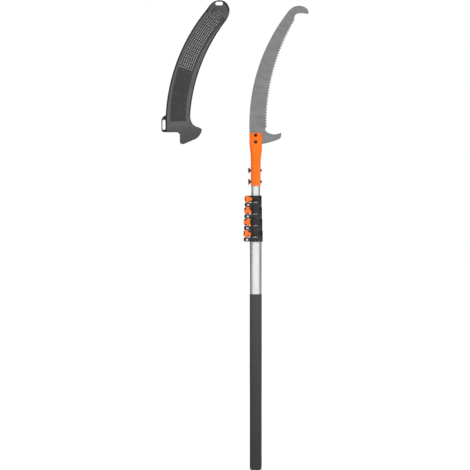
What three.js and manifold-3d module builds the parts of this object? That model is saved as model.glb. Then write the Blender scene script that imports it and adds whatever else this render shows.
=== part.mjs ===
// Telescoping pole saw, five nested tubes, a curved blade and its two-shell sheath.
//
// Frame: +Z runs up the pole from the butt end, whose flat centre is the origin.
// The blade lies in the XZ plane with its teeth towards +X, and the clamp knobs face -Y.
// Everything is in millimetres. The pole is shown pushed in, with the sheath beside the blade.

import * as THREE from 'three';
import { mergeVertices } from 'three/addons/utils/BufferGeometryUtils.js';
import Module from 'manifold-3d';

const wasm = await Module();
wasm.setup();

// ---------------------------------------------------------------- driving dimensions

const GAP = 0.3;                 // clearance between pieces that touch on the real saw
const SIDES = 24;                // sides of a round tube or bore

const SECTIONS = 5;
const TUBE_OD = 35;              // the lowest tube's outer diameter
const OD_STEP = 2.2;             // each tube is this much slimmer than the one around it
const WALL = 0.9;

const PLUG_HEAD = 12;            // visible height of the butt plug
const PLUG_REACH = 22;           // how far the plug goes up inside the lowest tube
const PLUG_FLAT = 9;             // radius of the flat that the pole stands on
const GRIP_TOP = 527;
const GRIP_WALL = 0.75;

const BUSH_FLANGE = 4;
const BUSH_REACH = 12;
const NEST_STEP = 18;            // height between the feet of nested tubes
const FOOT_2 = 40;               // foot of the second tube when pushed in

const STACK_FOOT = 684.4;          // underside of the lowest clamp
const CLAMP_PITCH = 34.6;
const CLAMP_HEIGHT = 34.2;
const COLLAR_R = 21;             // outer radius of the lowest collar
const COLLAR_STEP = 1.07;        // each higher collar is slimmer by this
const SKIRT_HEIGHT = 12.2;       // part that is screwed to the outer tube
const RELIEF_HEIGHT = 2.8;       // slot that frees the clamping band from the skirt
const RELIEF_END = 8;            // X where that slot ends
const SPLIT = 2.5;               // slit between the two ears
const EAR_REACH = 10.5;          // end of the ears and the lug beyond their screws
const EAR_CORNER = 5.5;
const EAR_OFFSET = 5;            // the ear's screw is this far outside the collar
const EAR_FRONT_INSET = 4;       // front face of the ears, in from the collar's radius
const EAR_BACK_INSET = 9;
const SCREW_SEAT_Z = 23.6;       // height of the knob's screw above the collar's foot

const KNOB_R = 9.9;              // mean radius of the three-lobed knob
const KNOB_LOBE = 2.3;           // how far the lobes stand out and in
const KNOB_DEPTH = 12;
const KNOB_TURNS = [-10, 180, 90, 0];   // rest angle of a lobe on each knob, from +X to +Z
const STUD_R = 2.5;
const NUT_R = 4.6;
const NUT_HEIGHT = 4;
const FIX_R = 2;
const FIX_HEAD_R = 3.9;
const FIX_HEAD = 2.4;
const FIX_NUT_R = 3.9;
const FIX_NUT = 3;

const SOCKET_FOOT = 850;
const SOCKET_TOP = 1011;
const SOCKET_BORE_TOP = 917;
const SLOT_FOOT = 946;           // bottom of the slot that takes the blade's tang
const CROSS_BOLT_Z = [864, 898];
const CROSS_BOLT_R = 2.5;
const WING_TURNS = [12, 32];     // rest angle of each wing nut about its bolt
const BLADE_SCREW_Z = [983, 1003.5];
const BLADE_SCREW_R = 2.5;
const BUTTON_R = 4.8;
const BUTTON_HEIGHT = 3;

const BLADE_T = 1.6;
const SPINE = { x: 532.2, z: 1035.4, r: 551.5 };    // circle of the blade's back
const TEETH = { x: 635.9, z: 1041.5, r: 604.2 };    // circle of its tooth line
const TOOTH_COUNT = 41;
const TOOTH_DEPTH = 5;
const TOOTH_LEAN = 0.34;         // tip's place along the pitch, from the handle side
const TOOTH_FIRST = 181.4;       // degrees about the tooth circle, at the heel
const TOOTH_LAST = 149.3;        // and at the tip

const SHEATH_BACK = { x: 273.8, z: 1035.1, r: 544.6 };    // circle of the sheath's convex side
const SHEATH_EDGE = { x: 328.5, z: 1027.4, r: 526.5 };    // circle of its concave side
const SHEATH_WALL = 2;
const SHEATH_DEPTH = 5;          // half of the closed sheath's thickness
const RIM = 3.5;
const BACK_ARC = [182.4, 142.9]; // degrees about the back's circle, from the foot to the tip
const EDGE_ARC = [142.2, 175.9]; // degrees about the edge's circle, from the tip to the foot

// ---------------------------------------------------------------- shared tools

const degrees = THREE.MathUtils.degToRad;
const tubeRadius = (section) => (TUBE_OD - OD_STEP * (section - 1)) / 2;
const boreRadius = (section) => tubeRadius(section) - WALL;
const collarRadius = (clamp) => COLLAR_R - COLLAR_STEP * (clamp - 1);
const clampFoot = (clamp) => STACK_FOOT + CLAMP_PITCH * (clamp - 1);
const earX = (clamp) => -(collarRadius(clamp) + EAR_OFFSET);
const frontY = (clamp) => -(collarRadius(clamp) - EAR_FRONT_INSET);
const backY = (clamp) => collarRadius(clamp) - EAR_BACK_INSET;
const tubeFoot = (section) => (section === 1 ? PLUG_HEAD + GAP : FOOT_2 + NEST_STEP * (section - 2));
const FIX_Z = SKIRT_HEIGHT / 2;

/** Merges a geometry's shared corners and returns it as a manifold solid. */
function solid(geometry) {
  const bare = geometry.clone();
  bare.deleteAttribute('normal');
  bare.deleteAttribute('uv');
  const merged = mergeVertices(bare, 1e-4);
  const index = merged.index.array;
  const triVerts = [];
  for (let i = 0; i < index.length; i += 3) {
    const [a, b, c] = [index[i], index[i + 1], index[i + 2]];
    if (a !== b && b !== c && c !== a) triVerts.push(a, b, c);
  }
  return new wasm.Manifold(new wasm.Mesh({
    numProp: 3,
    vertProperties: new Float32Array(merged.attributes.position.array),
    triVerts: new Uint32Array(triVerts),
  }));
}

/** Turns a manifold solid back into a three.js geometry. */
function geometryOf(body) {
  const mesh = body.getMesh();
  const geometry = new THREE.BufferGeometry();
  geometry.setAttribute('position', new THREE.BufferAttribute(mesh.vertProperties, 3));
  geometry.setIndex(new THREE.BufferAttribute(mesh.triVerts, 1));
  geometry.computeVertexNormals();
  return geometry;
}

/** Cuts every geometry in the list out of the first. */
function cut(geometry, tools) {
  const body = tools.reduce((left, tool) => left.subtract(solid(tool)), solid(geometry));
  return geometryOf(body);
}

/** Joins geometries into one. */
function join(...geometries) {
  const [first, ...rest] = geometries.map(solid);
  return geometryOf(rest.reduce((whole, piece) => whole.add(piece), first));
}

/** Revolves a profile of [radius, height] pairs about Z. */
function revolve(profile, sides = SIDES) {
  const points = profile.map(([r, z]) => new THREE.Vector2(r, z));
  return new THREE.LatheGeometry(points, sides).rotateX(Math.PI / 2);
}

/** A plain cylinder along Z between two heights. */
function cylinderZ(r, low, high, sides = SIDES) {
  const geometry = new THREE.CylinderGeometry(r, r, high - low, sides).rotateX(Math.PI / 2);
  return geometry.translate(0, 0, (low + high) / 2);
}

/** A cylinder along Y between two depths, at the given X and Z. */
function cylinderY(r, near, far, x = 0, z = 0, sides = 12) {
  return new THREE.CylinderGeometry(r, r, far - near, sides).translate(x, (near + far) / 2, z);
}

/** A cylinder along X between two places. */
function cylinderX(r, left, right, z = 0, sides = 12) {
  const geometry = new THREE.CylinderGeometry(r, r, right - left, sides).rotateZ(-Math.PI / 2);
  return geometry.translate((left + right) / 2, 0, z);
}

/** A box between two corners. */
function block([x0, y0, z0], [x1, y1, z1]) {
  const geometry = new THREE.BoxGeometry(x1 - x0, y1 - y0, z1 - z0);
  return geometry.translate((x0 + x1) / 2, (y0 + y1) / 2, (z0 + z1) / 2);
}

/** Extrudes an XZ outline along Y, from near (towards -Y) to far. */
function plate(shape, near, far, curveSegments = 6) {
  const geometry = new THREE.ExtrudeGeometry(shape, {
    depth: far - near, bevelEnabled: false, curveSegments,
  });
  return geometry.rotateX(Math.PI / 2).translate(0, far, 0);
}

/** A polygon from a function of the angle in radians. */
function polarShape(radiusAt, count) {
  const points = [];
  for (let i = 0; i < count; i++) {
    const angle = (i / count) * 2 * Math.PI;
    points.push(new THREE.Vector2(Math.cos(angle), Math.sin(angle)).multiplyScalar(radiusAt(angle)));
  }
  return new THREE.Shape(points);
}

/** A point on a circle {x, z} of a given radius, at an angle in degrees. */
function onCircle(circle, angle, r = circle.r) {
  return new THREE.Vector2(
    circle.x + r * Math.cos(degrees(angle)),
    circle.z + r * Math.sin(degrees(angle)),
  );
}

/** Points along an arc, both ends included. */
function arcPoints(circle, from, to, count, r = circle.r) {
  return Array.from({ length: count + 1 }, (_, i) => onCircle(circle, from + ((to - from) * i) / count, r));
}

/** A button head along an axis that runs from z = 0, flat side down, to its crown. */
function buttonHead(r, height, shankR, shankLength) {
  return revolve([
    [0, -shankLength], [shankR, -shankLength], [shankR, 0], [r, 0],
    [r, height * 0.35], [r * 0.72, height * 0.85], [0, height],
  ], 12);
}

/** A hexagon nut from z = 0 up, with a clearance bore. */
function hexNut(r, height, boreR) {
  const nut = cylinderZ(r, 0, height, 6);
  return cut(nut, [cylinderZ(boreR, -1, height + 1, 12)]);
}

const finishes = {
  aluminium: { color: 0xc9cbcd, roughness: 0.35, metalness: 1 },
  grip: { color: 0x3a3b3d, roughness: 0.7, metalness: 0 },
  darkPlastic: { color: 0x2b2c2e, roughness: 0.55, metalness: 0 },
  bush: { color: 0xd8d6cf, roughness: 0.5, metalness: 0 },
  orangePlastic: { color: 0xe86a1c, roughness: 0.35, metalness: 0 },
  orangePaint: { color: 0xf47a24, roughness: 0.25, metalness: 0.1 },
  steel: { color: 0xa9abad, roughness: 0.35, metalness: 1 },
  blackSteel: { color: 0x2a2524, roughness: 0.45, metalness: 0.6 },
  bladeSteel: { color: 0x8f9496, roughness: 0.32, metalness: 1 },
  sheath: { color: 0x48494a, roughness: 0.6, metalness: 0 },
};

const saw = new THREE.Group();

/** Adds one named piece to a group and returns its mesh. */
function piece(name, geometry, finish, parent = saw) {
  const mesh = new THREE.Mesh(geometry, new THREE.MeshStandardMaterial(finishes[finish]));
  mesh.name = name;
  parent.add(mesh);
  return mesh;
}

// ---------------------------------------------------------------- pole

/** Height of a tube's upper end, inside the clamp or the socket above it. */
function tubeTop(section) {
  if (section === SECTIONS) return SOCKET_BORE_TOP - 1;
  return clampFoot(section) + SKIRT_HEIGHT - GAP;
}

/** One aluminium tube of the pole, open at both ends. */
function tube(section) {
  const [outer, inner] = [tubeRadius(section), boreRadius(section)];
  const [foot, top] = [tubeFoot(section), tubeTop(section)];
  const wall = [[outer, foot], [outer, top], [inner, top], [inner, foot], [outer, foot]];
  const geometry = revolve(wall);
  if (section < SECTIONS) return geometry;
  const bolts = CROSS_BOLT_Z.map((z) => cylinderX(CROSS_BOLT_R + GAP, -outer - 2, outer + 2, z));
  return cut(geometry, bolts);
}

/** Plastic guide at the foot of a moving tube: a spigot inside it and a flange under it. */
function guideBush(section) {
  const spigot = boreRadius(section) - GAP;
  const flange = boreRadius(section - 1) - 0.2;
  const top = tubeFoot(section) - GAP;
  return revolve([
    [spigot - 1.6, top - BUSH_FLANGE], [flange, top - BUSH_FLANGE], [flange, top], [spigot, top],
    [spigot, top + BUSH_REACH], [spigot - 1.6, top + BUSH_REACH], [spigot - 1.6, top - BUSH_FLANGE],
  ]);
}

/** Rounded plug in the butt end, with a flat to stand on. */
function buttPlug() {
  const head = tubeRadius(1) + GRIP_WALL;
  const spigot = boreRadius(1) - GAP;
  const top = PLUG_HEAD + PLUG_REACH;
  return revolve([
    [0, 0], [PLUG_FLAT, 0], [head - 4, 1.6], [head - 1.2, 4.6], [head, 8.5], [head, PLUG_HEAD],
    [spigot, PLUG_HEAD], [spigot, top], [spigot - 2.5, top], [spigot - 2.5, 6], [0, 6],
  ]);
}

/** Thin grip sleeve over the lowest tube. */
function gripSleeve() {
  const inner = tubeRadius(1) + 0.15;
  const outer = inner + GRIP_WALL;
  const foot = PLUG_HEAD + GAP;
  return revolve([[outer, foot], [outer, GRIP_TOP], [inner, GRIP_TOP], [inner, foot], [outer, foot]]);
}

// ---------------------------------------------------------------- clamps

/** Ear outline: a bar from the pole's axis out to X, with its two outer corners rounded. */
function earShape(outerX, low, high) {
  const shape = new THREE.Shape();
  shape.moveTo(0, low);
  shape.lineTo(0, high);
  shape.absarc(outerX + EAR_CORNER, high - EAR_CORNER, EAR_CORNER, Math.PI / 2, Math.PI, false);
  shape.absarc(outerX + EAR_CORNER, low + EAR_CORNER, EAR_CORNER, Math.PI, Math.PI * 1.5, false);
  return shape;
}

/** Split collar: a skirt on the outer tube and a band that clamps the inner one. */
function collar(clamp) {
  const r = collarRadius(clamp);
  const x = earX(clamp);
  const [front, back] = [frontY(clamp), backY(clamp)];
  const bandFoot = SKIRT_HEIGHT + RELIEF_HEIGHT;
  const ring = revolve([
    [0, 0], [r - 1, 0], [r, 1], [r, CLAMP_HEIGHT - 1], [r - 1, CLAMP_HEIGHT], [0, CLAMP_HEIGHT],
  ]);
  const ears = plate(earShape(x - EAR_REACH, bandFoot, CLAMP_HEIGHT), front, back, 4);
  const lug = plate(earShape(x - EAR_REACH, 0, SKIRT_HEIGHT), front, back, 4);
  const far = -(r + 3 * EAR_REACH);
  return cut(join(ring, ears, lug), [
    cylinderZ(tubeRadius(clamp) + GAP, -1, SKIRT_HEIGHT),
    cylinderZ(tubeRadius(clamp + 1) + GAP, SKIRT_HEIGHT - 1, CLAMP_HEIGHT + 1),
    block([far, -r - 1, SKIRT_HEIGHT], [RELIEF_END, r + 1, bandFoot]),
    block([far, -SPLIT / 2, -1], [0, SPLIT / 2, CLAMP_HEIGHT + 1]),
    cylinderY(STUD_R + GAP, front - 1, back + 1, x, SCREW_SEAT_Z),
    cylinderY(FIX_R + GAP, front - 1, back + 1, x, FIX_Z),
  ]);
}

/** Three-lobed knob about its own screw axis, its back face at y = 0, one lobe towards +X. */
function knob() {
  const outline = polarShape((angle) => KNOB_R + KNOB_LOBE * Math.cos(3 * angle), 30);
  const crown = polarShape((angle) => KNOB_R - 1.4 + KNOB_LOBE * Math.cos(3 * angle), 30);
  const body = join(
    plate(outline, -KNOB_DEPTH + 1.4, -2.4),
    plate(crown, -KNOB_DEPTH, -2.4),
    cylinderY(6, -3, 0),
  );
  return cut(body, [cylinderY(STUD_R + GAP, -8, 1)]);
}

/** Threaded stud moulded into the knob, reaching through both ears and the nut. */
function stud(clamp) {
  return cylinderY(STUD_R, frontY(clamp) - 7, backY(clamp) + NUT_HEIGHT + 3, 0, 0, 12);
}

/** Pan-head screw with a cross recess that holds the skirt, head towards -Y. */
function fixingScrew(clamp) {
  const front = frontY(clamp) - GAP;
  const length = backY(clamp) + FIX_NUT + 1.5 - front;
  const screw = buttonHead(FIX_HEAD_R, FIX_HEAD, FIX_R, length).rotateX(Math.PI / 2);
  const recess = [
    block([-1.7, -FIX_HEAD - 1, -0.4], [1.7, -FIX_HEAD + 1.1, 0.4]),
    block([-0.4, -FIX_HEAD - 1, -1.7], [0.4, -FIX_HEAD + 1.1, 1.7]),
  ];
  return cut(screw, recess).translate(0, front, 0);
}

/** Builds every piece of one clamp at its height on the pole. */
function addClamp(clamp) {
  const group = new THREE.Group();
  group.position.set(0, 0, clampFoot(clamp));
  saw.add(group);
  piece(`clamp_collar_${clamp}`, collar(clamp), 'darkPlastic', group);

  const screw = new THREE.Group();
  screw.position.set(earX(clamp), 0, SCREW_SEAT_Z);
  group.add(screw);
  const handle = piece(`clamp_knob_${clamp}`, knob(), 'orangePlastic', screw);
  handle.position.y = frontY(clamp) - GAP;
  handle.rotation.y = -degrees(KNOB_TURNS[clamp - 1]);
  piece(`clamp_stud_${clamp}`, stud(clamp), 'steel', screw);
  const nut = hexNut(NUT_R, NUT_HEIGHT, STUD_R + GAP).rotateX(-Math.PI / 2);
  piece(`clamp_nut_${clamp}`, nut, 'steel', screw).position.y = backY(clamp) + GAP;

  const fixing = new THREE.Group();
  fixing.position.set(earX(clamp), 0, FIX_Z);
  group.add(fixing);
  piece(`skirt_screw_${clamp}`, fixingScrew(clamp), 'steel', fixing);
  const small = hexNut(FIX_NUT_R, FIX_NUT, FIX_R + GAP).rotateX(-Math.PI / 2);
  piece(`skirt_nut_${clamp}`, small, 'steel', fixing).position.y = backY(clamp) + GAP;
}

// ---------------------------------------------------------------- blade socket

// Cross-sections of the socket from the foot up: height, centre X, half widths in X and Y,
// and the power of the superellipse, 2 for a circle and more for a flatter side.
const SOCKET_SECTIONS = [
  { z: SOCKET_FOOT, x: 0, a: 14.5, b: 14.5, power: 2 },
  { z: 925, x: 0, a: 14.8, b: 14.8, power: 2 },
  { z: 938, x: 0.4, a: 15.4, b: 14.2, power: 2.1 },
  { z: 950, x: 0.9, a: 16.4, b: 12.6, power: 2.3 },
  { z: 962, x: 1, a: 17.8, b: 9.8, power: 2.7 },
  { z: 975, x: 0.2, a: 18.6, b: 7.2, power: 3.2 },
  { z: 979, x: 0, a: 18.8, b: 7, power: 3.4 },
  { z: 988, x: 0, a: 19, b: 7, power: 3.6 },
  { z: 1007, x: 0, a: 19, b: 7, power: 3.6 },
  { z: SOCKET_TOP, x: 0, a: 16.6, b: 6.4, power: 3.6 },
];

/** Bends a plain cylinder onto the socket's sections. */
function socketSkin() {
  const rows = SOCKET_SECTIONS.length - 1;
  const geometry = new THREE.CylinderGeometry(1, 1, rows, SIDES, rows).rotateX(Math.PI / 2);
  geometry.translate(0, 0, rows / 2);
  const spots = geometry.attributes.position;
  for (let i = 0; i < spots.count; i++) {
    const section = SOCKET_SECTIONS[Math.round(spots.getZ(i))];
    const [ux, uy] = [spots.getX(i), spots.getY(i)];
    const grow = (u) => Math.sign(u) * Math.abs(u) ** (2 / section.power);
    spots.setXYZ(i, section.x + section.a * grow(ux), section.b * grow(uy), section.z);
  }
  return geometry;
}

/** Orange socket: a sleeve on the top tube that flattens into two cheeks round the blade. */
function socket() {
  const slotHalf = BLADE_T / 2 + GAP;
  return cut(socketSkin(), [
    cylinderZ(tubeRadius(SECTIONS) + GAP, SOCKET_FOOT - 1, SOCKET_BORE_TOP),
    block([-30, -slotHalf, SLOT_FOOT], [30, slotHalf, SOCKET_TOP + 1]),
    ...CROSS_BOLT_Z.map((z) => cylinderX(CROSS_BOLT_R + GAP, -20, 20, z)),
    ...BLADE_SCREW_Z.map((z) => cylinderY(BLADE_SCREW_R + GAP, -20, 20, 0, z)),
  ]);
}

/** Bolt across the pole: round head towards +X, thread towards -X. */
function crossBolt(headX) {
  return buttonHead(BUTTON_R, BUTTON_HEIGHT + 0.4, CROSS_BOLT_R, 2 * headX + 8.4)
    .rotateY(Math.PI / 2)
    .translate(headX, 0, 0);
}

/** Wing nut on the X axis, its seat at x = 0 and its wings leaning out to -X. */
function wingNut() {
  const hub = revolve([[0, 0], [4.6, 0], [3.9, 5], [0, 5]], 16).rotateY(-Math.PI / 2);
  const wing = new THREE.Shape();
  wing.moveTo(-0.8, 1.5);
  wing.lineTo(-1.2, 3.2);
  wing.quadraticCurveTo(-2.6, 7.6, -4.6, 8.3);
  wing.absarc(-6.2, 7, 1.9, Math.PI * 0.35, Math.PI * 1.1, false);
  wing.quadraticCurveTo(-6.4, 4, -4.6, 1.5);
  const upper = plate(wing, -0.9, 0.9, 4);
  const lower = upper.clone().rotateX(Math.PI);
  return cut(join(hub, upper, lower), [cylinderX(CROSS_BOLT_R + GAP, -9, 1, 0, 12)]);
}

/** Builds the socket with its cross bolts, wing nuts and blade screws. */
function addSocket() {
  piece('blade_socket', socket(), 'orangePaint');
  CROSS_BOLT_Z.forEach((z, i) => {
    const seat = SOCKET_SECTIONS[1].a + GAP;
    piece(`cross_bolt_${i + 1}`, crossBolt(seat), 'blackSteel').position.z = z;
    const nut = piece(`wing_nut_${i + 1}`, wingNut(), 'blackSteel');
    nut.position.set(-seat, 0, z);
    nut.rotation.x = degrees(WING_TURNS[i]);
  });
  const cheek = SOCKET_SECTIONS[7].b + GAP + 0.1;
  BLADE_SCREW_Z.forEach((z, i) => {
    const screw = buttonHead(BUTTON_R, BUTTON_HEIGHT, BLADE_SCREW_R, 2 * cheek + 5.2);
    screw.rotateX(Math.PI / 2);
    piece(`blade_screw_${i + 1}`, screw, 'blackSteel').position.set(0, -cheek, z);
    const nut = hexNut(NUT_R, NUT_HEIGHT, BLADE_SCREW_R + GAP).rotateX(-Math.PI / 2);
    piece(`blade_nut_${i + 1}`, nut, 'steel').position.set(0, cheek, z);
  });
}

// ---------------------------------------------------------------- blade

/** Tooth line from the tip down to the heel, two points a tooth. */
function toothPoints() {
  const pitch = (TOOTH_FIRST - TOOTH_LAST) / TOOTH_COUNT;
  const [tips, gullets] = [TEETH.r - TOOTH_DEPTH / 2, TEETH.r + TOOTH_DEPTH / 2];
  const points = [];
  for (let i = 0; i < TOOTH_COUNT; i++) {
    const start = TOOTH_LAST + i * pitch;
    points.push(onCircle(TEETH, start, gullets));
    points.push(onCircle(TEETH, start + pitch * (1 - TOOTH_LEAN), tips));
  }
  return points;
}

/** Blade outline: curved back, hooked tip, teeth, heel hook and tang. */
function bladeShape() {
  const shape = new THREE.Shape();
  shape.moveTo(-14.5, 951);
  shape.lineTo(-18, 988);
  arcPoints(SPINE, 184, 141.5, 16).forEach((point) => shape.lineTo(point.x, point.y));
  const hook = [[114, 1388.6], [130.5, 1392], [145, 1389], [155, 1382], [158.7, 1374]];
  hook.forEach(([x, z]) => shape.lineTo(x, z));
  shape.lineTo(158, 1367.7);
  shape.lineTo(151.5, 1367.7);
  shape.quadraticCurveTo(137, 1371.5, 124, 1368);
  shape.quadraticCurveTo(115.8, 1364, 115.8, 1354);
  toothPoints().forEach((point) => shape.lineTo(point.x, point.y));
  shape.lineTo(30.6, 1026);
  shape.quadraticCurveTo(26, 1019.5, 33.9, 1013);
  shape.quadraticCurveTo(48, 1004, 63.6, 1006.8);
  shape.lineTo(76.2, 1011.3);
  shape.quadraticCurveTo(79, 997, 70, 992);
  shape.quadraticCurveTo(48, 982, 18.9, 977);
  shape.lineTo(14.5, 951);
  return shape;
}

/** Saw blade with its two screw holes. */
function blade() {
  const body = plate(bladeShape(), -BLADE_T / 2, BLADE_T / 2, 4);
  return cut(body, BLADE_SCREW_Z.map((z) => cylinderY(BLADE_SCREW_R + GAP, -5, 5, 0, z)));
}

// ---------------------------------------------------------------- sheath

/** Outer outline of the sheath: a curved case with a wide tip and a cover for the heel hook. */
function sheathShape() {
  const shape = new THREE.Shape();
  const [first, ...back] = arcPoints(SHEATH_BACK, ...BACK_ARC, 12);
  shape.moveTo(first.x, first.y);
  back.forEach((p) => shape.lineTo(p.x, p.y));
  shape.lineTo(-146.5, 1381.5);
  shape.quadraticCurveTo(-130, 1408.5, -108.9, 1408.5);
  shape.quadraticCurveTo(-84, 1408, -78.3, 1380);
  shape.lineTo(-79.5, 1367);
  arcPoints(SHEATH_EDGE, ...EDGE_ARC, 10).forEach((p) => shape.lineTo(p.x, p.y));
  shape.quadraticCurveTo(-196, 1036, -178.5, 1029.6);
  shape.quadraticCurveTo(-161, 1025, -161.7, 1019);
  shape.quadraticCurveTo(-165.5, 1001, -180, 992.5);
  shape.lineTo(-215.7, 977);
  shape.quadraticCurveTo(-227.7, 976, -227.7, 984.6);
  shape.lineTo(-227.7, 1006);
  shape.lineTo(-234.9, 1012.5);
  return shape;
}

/** Space inside the sheath, open at the foot so that the blade and its heel hook slide in. */
function pocketShape() {
  const shape = new THREE.Shape();
  const back = arcPoints(SHEATH_BACK, ...BACK_ARC, 12, SHEATH_BACK.r - RIM);
  shape.moveTo(back[0].x, 1000);
  back.forEach((p) => shape.lineTo(p.x, p.y));
  shape.lineTo(-143, 1378);
  shape.lineTo(-126, 1385);
  shape.lineTo(-86, 1385);
  shape.lineTo(-82.5, 1376);
  shape.lineTo(-83.5, 1366);
  const edge = arcPoints(SHEATH_EDGE, EDGE_ARC[0] + 0.4, EDGE_ARC[1], 10, SHEATH_EDGE.r + RIM);
  edge.forEach((p) => shape.lineTo(p.x, p.y));
  shape.quadraticCurveTo(-200, 1034, -179.5, 1026.5);
  shape.quadraticCurveTo(-166, 1023, -165.5, 1019);
  shape.lineTo(-165.5, 960);
  shape.lineTo(-224.5, 960);
  shape.lineTo(-224.5, 1000);
  return shape;
}

/** Slot through the sheath's tip, for hanging it up. */
function tipSlotShape() {
  const shape = new THREE.Shape();
  shape.absarc(-115.5, 1398.6, 5.8, Math.PI / 2, Math.PI * 1.5, false);
  shape.absarc(-104, 1398.6, 5.8, -Math.PI / 2, Math.PI / 2, false);
  return shape;
}

/** Belt loop on the back edge of the sheath. */
function beltLoop() {
  const outer = new THREE.Shape();
  outer.moveTo(-262, 1012.5);
  outer.lineTo(-274, 1012.5);
  outer.quadraticCurveTo(-283, 1013, -283, 1023);
  outer.lineTo(-283, 1047);
  outer.quadraticCurveTo(-282, 1056, -276, 1060.5);
  outer.lineTo(-262, 1068);
  return cut(plate(outer, 0, 3.6), [block([-280, -1, 1020], [-270.8, 6, 1050])]);
}

/** Half of the sheath with its inner face at y = 0 and its wall towards +Y. */
function sheathShell() {
  const shell = plate(sheathShape(), 0, SHEATH_DEPTH - GAP / 2, 4);
  return cut(shell, [
    plate(pocketShape(), -1, SHEATH_DEPTH - GAP / 2 - SHEATH_WALL, 4),
    plate(tipSlotShape(), -1, SHEATH_DEPTH + 1, 5),
  ]);
}

/** Builds both shells of the sheath; the back one carries the belt loop. */
function addSheath() {
  const back = join(sheathShell(), beltLoop());
  piece('sheath_back', back, 'sheath').position.y = GAP / 2;
  const flip = solid(sheathShell()).scale([1, -1, 1]);
  piece('sheath_front', geometryOf(flip), 'sheath').position.y = -GAP / 2;
}

// ---------------------------------------------------------------- the whole saw

piece('butt_plug', buttPlug(), 'darkPlastic');
piece('grip_sleeve', gripSleeve(), 'grip');
for (let section = 1; section <= SECTIONS; section++) {
  piece(`tube_${section}`, tube(section), 'aluminium');
  if (section > 1) piece(`guide_bush_${section}`, guideBush(section), 'bush');
}
for (let clamp = 1; clamp < SECTIONS; clamp++) addClamp(clamp);
addSocket();
piece('saw_blade', blade(), 'bladeSteel');
addSheath();

export default saw;
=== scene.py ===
import logging
import math
from collections.abc import Callable, Iterator, Sequence
from contextlib import contextmanager
from dataclasses import dataclass
from enum import Enum

import bmesh
import bpy
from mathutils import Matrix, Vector


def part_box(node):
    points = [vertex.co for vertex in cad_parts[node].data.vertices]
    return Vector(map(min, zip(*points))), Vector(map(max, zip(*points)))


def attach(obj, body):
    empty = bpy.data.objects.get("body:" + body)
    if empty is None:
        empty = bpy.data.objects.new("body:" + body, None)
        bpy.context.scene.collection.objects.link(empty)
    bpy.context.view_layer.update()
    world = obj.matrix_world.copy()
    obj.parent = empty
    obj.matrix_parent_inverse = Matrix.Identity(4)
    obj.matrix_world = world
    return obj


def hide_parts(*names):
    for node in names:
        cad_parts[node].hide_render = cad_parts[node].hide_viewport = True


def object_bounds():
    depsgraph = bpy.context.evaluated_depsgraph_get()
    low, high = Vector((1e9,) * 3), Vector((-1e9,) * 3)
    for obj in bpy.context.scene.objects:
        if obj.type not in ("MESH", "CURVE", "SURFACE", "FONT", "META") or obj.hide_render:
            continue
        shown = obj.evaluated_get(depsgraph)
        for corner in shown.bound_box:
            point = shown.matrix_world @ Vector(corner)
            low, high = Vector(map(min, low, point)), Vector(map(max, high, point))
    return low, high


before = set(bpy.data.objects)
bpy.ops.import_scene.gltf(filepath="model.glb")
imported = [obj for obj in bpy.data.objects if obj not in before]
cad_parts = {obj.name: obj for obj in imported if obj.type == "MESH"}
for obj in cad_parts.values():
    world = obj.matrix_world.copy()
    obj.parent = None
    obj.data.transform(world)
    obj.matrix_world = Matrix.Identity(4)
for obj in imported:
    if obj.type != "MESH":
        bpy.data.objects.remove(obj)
CAD_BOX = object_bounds()

log = logging.getLogger("pole_saw")

MM = 0.001                       # one millimetre, in scene units
GAP = 0.3 * MM                   # clearance that the frame keeps between touching pieces
CLAMPS = range(1, 5)
SECTIONS = range(1, 6)

Point = tuple[float, float, float]
Flat = tuple[float, float]       # a point (x, z) of an outline in the blade's plane
Piece = bpy.types.Object


class Slot(Enum):
    """The record's material slots."""

    TUBE = "tube"
    GRIP = "grip"
    DARK_PLASTIC = "dark_plastic"
    COLLAR = "collar"
    KNOB = "knob"
    BUSH = "bush"
    ZINC = "zinc_steel"
    BLACK_STEEL = "black_steel"
    ORANGE_PAINT = "orange_paint"
    BLADE = "blade_steel"
    SHEATH = "sheath"


class Along(Enum):
    """The row axis that a turned piece's own axis points along, with the turn that puts it there."""

    RIGHT = (0.0, math.pi / 2, 0.0)
    LEFT = (0.0, -math.pi / 2, 0.0)
    FRONT = (math.pi / 2, 0.0, 0.0)
    BACK = (-math.pi / 2, 0.0, 0.0)


# ---------------------------------------------------------------- bench: selecting and shaping


def select_only(*pieces: Piece) -> None:
    """Leave edit mode and select these pieces alone, the last one active.

    Args:
        pieces: The objects to select.
    """
    if bpy.context.mode != "OBJECT":
        bpy.ops.object.mode_set(mode="OBJECT")
    bpy.ops.object.select_all(action="DESELECT")
    for piece in pieces:
        piece.select_set(True)
        bpy.context.view_layer.objects.active = piece


@contextmanager
def editing(piece: Piece, everything: bool = False) -> Iterator[None]:
    """Edit a piece's mesh, with everything or nothing selected at the start.

    Args:
        piece: The object to edit.
        everything: Whether its whole mesh starts out selected.

    Yields:
        Nothing; object mode is restored on the way out.
    """
    select_only(piece)
    bpy.ops.object.mode_set(mode="EDIT")
    bpy.ops.mesh.select_all(action="SELECT" if everything else "DESELECT")
    yield
    bpy.ops.object.mode_set(mode="OBJECT")


def pick_faces(piece: Piece, wanted: Callable[[Vector, Vector], bool]) -> None:
    """Select, in edit mode, the faces that a test of centre and normal accepts.

    Args:
        piece: The object being edited.
        wanted: Test of a face's centre and normal.
    """
    bpy.ops.mesh.select_mode(type="FACE")
    bpy.ops.mesh.select_all(action="DESELECT")
    mesh = bmesh.from_edit_mesh(piece.data)
    for face in mesh.faces:
        face.select_set(wanted(face.calc_center_median(), face.normal))
    bmesh.update_edit_mesh(piece.data)


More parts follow.
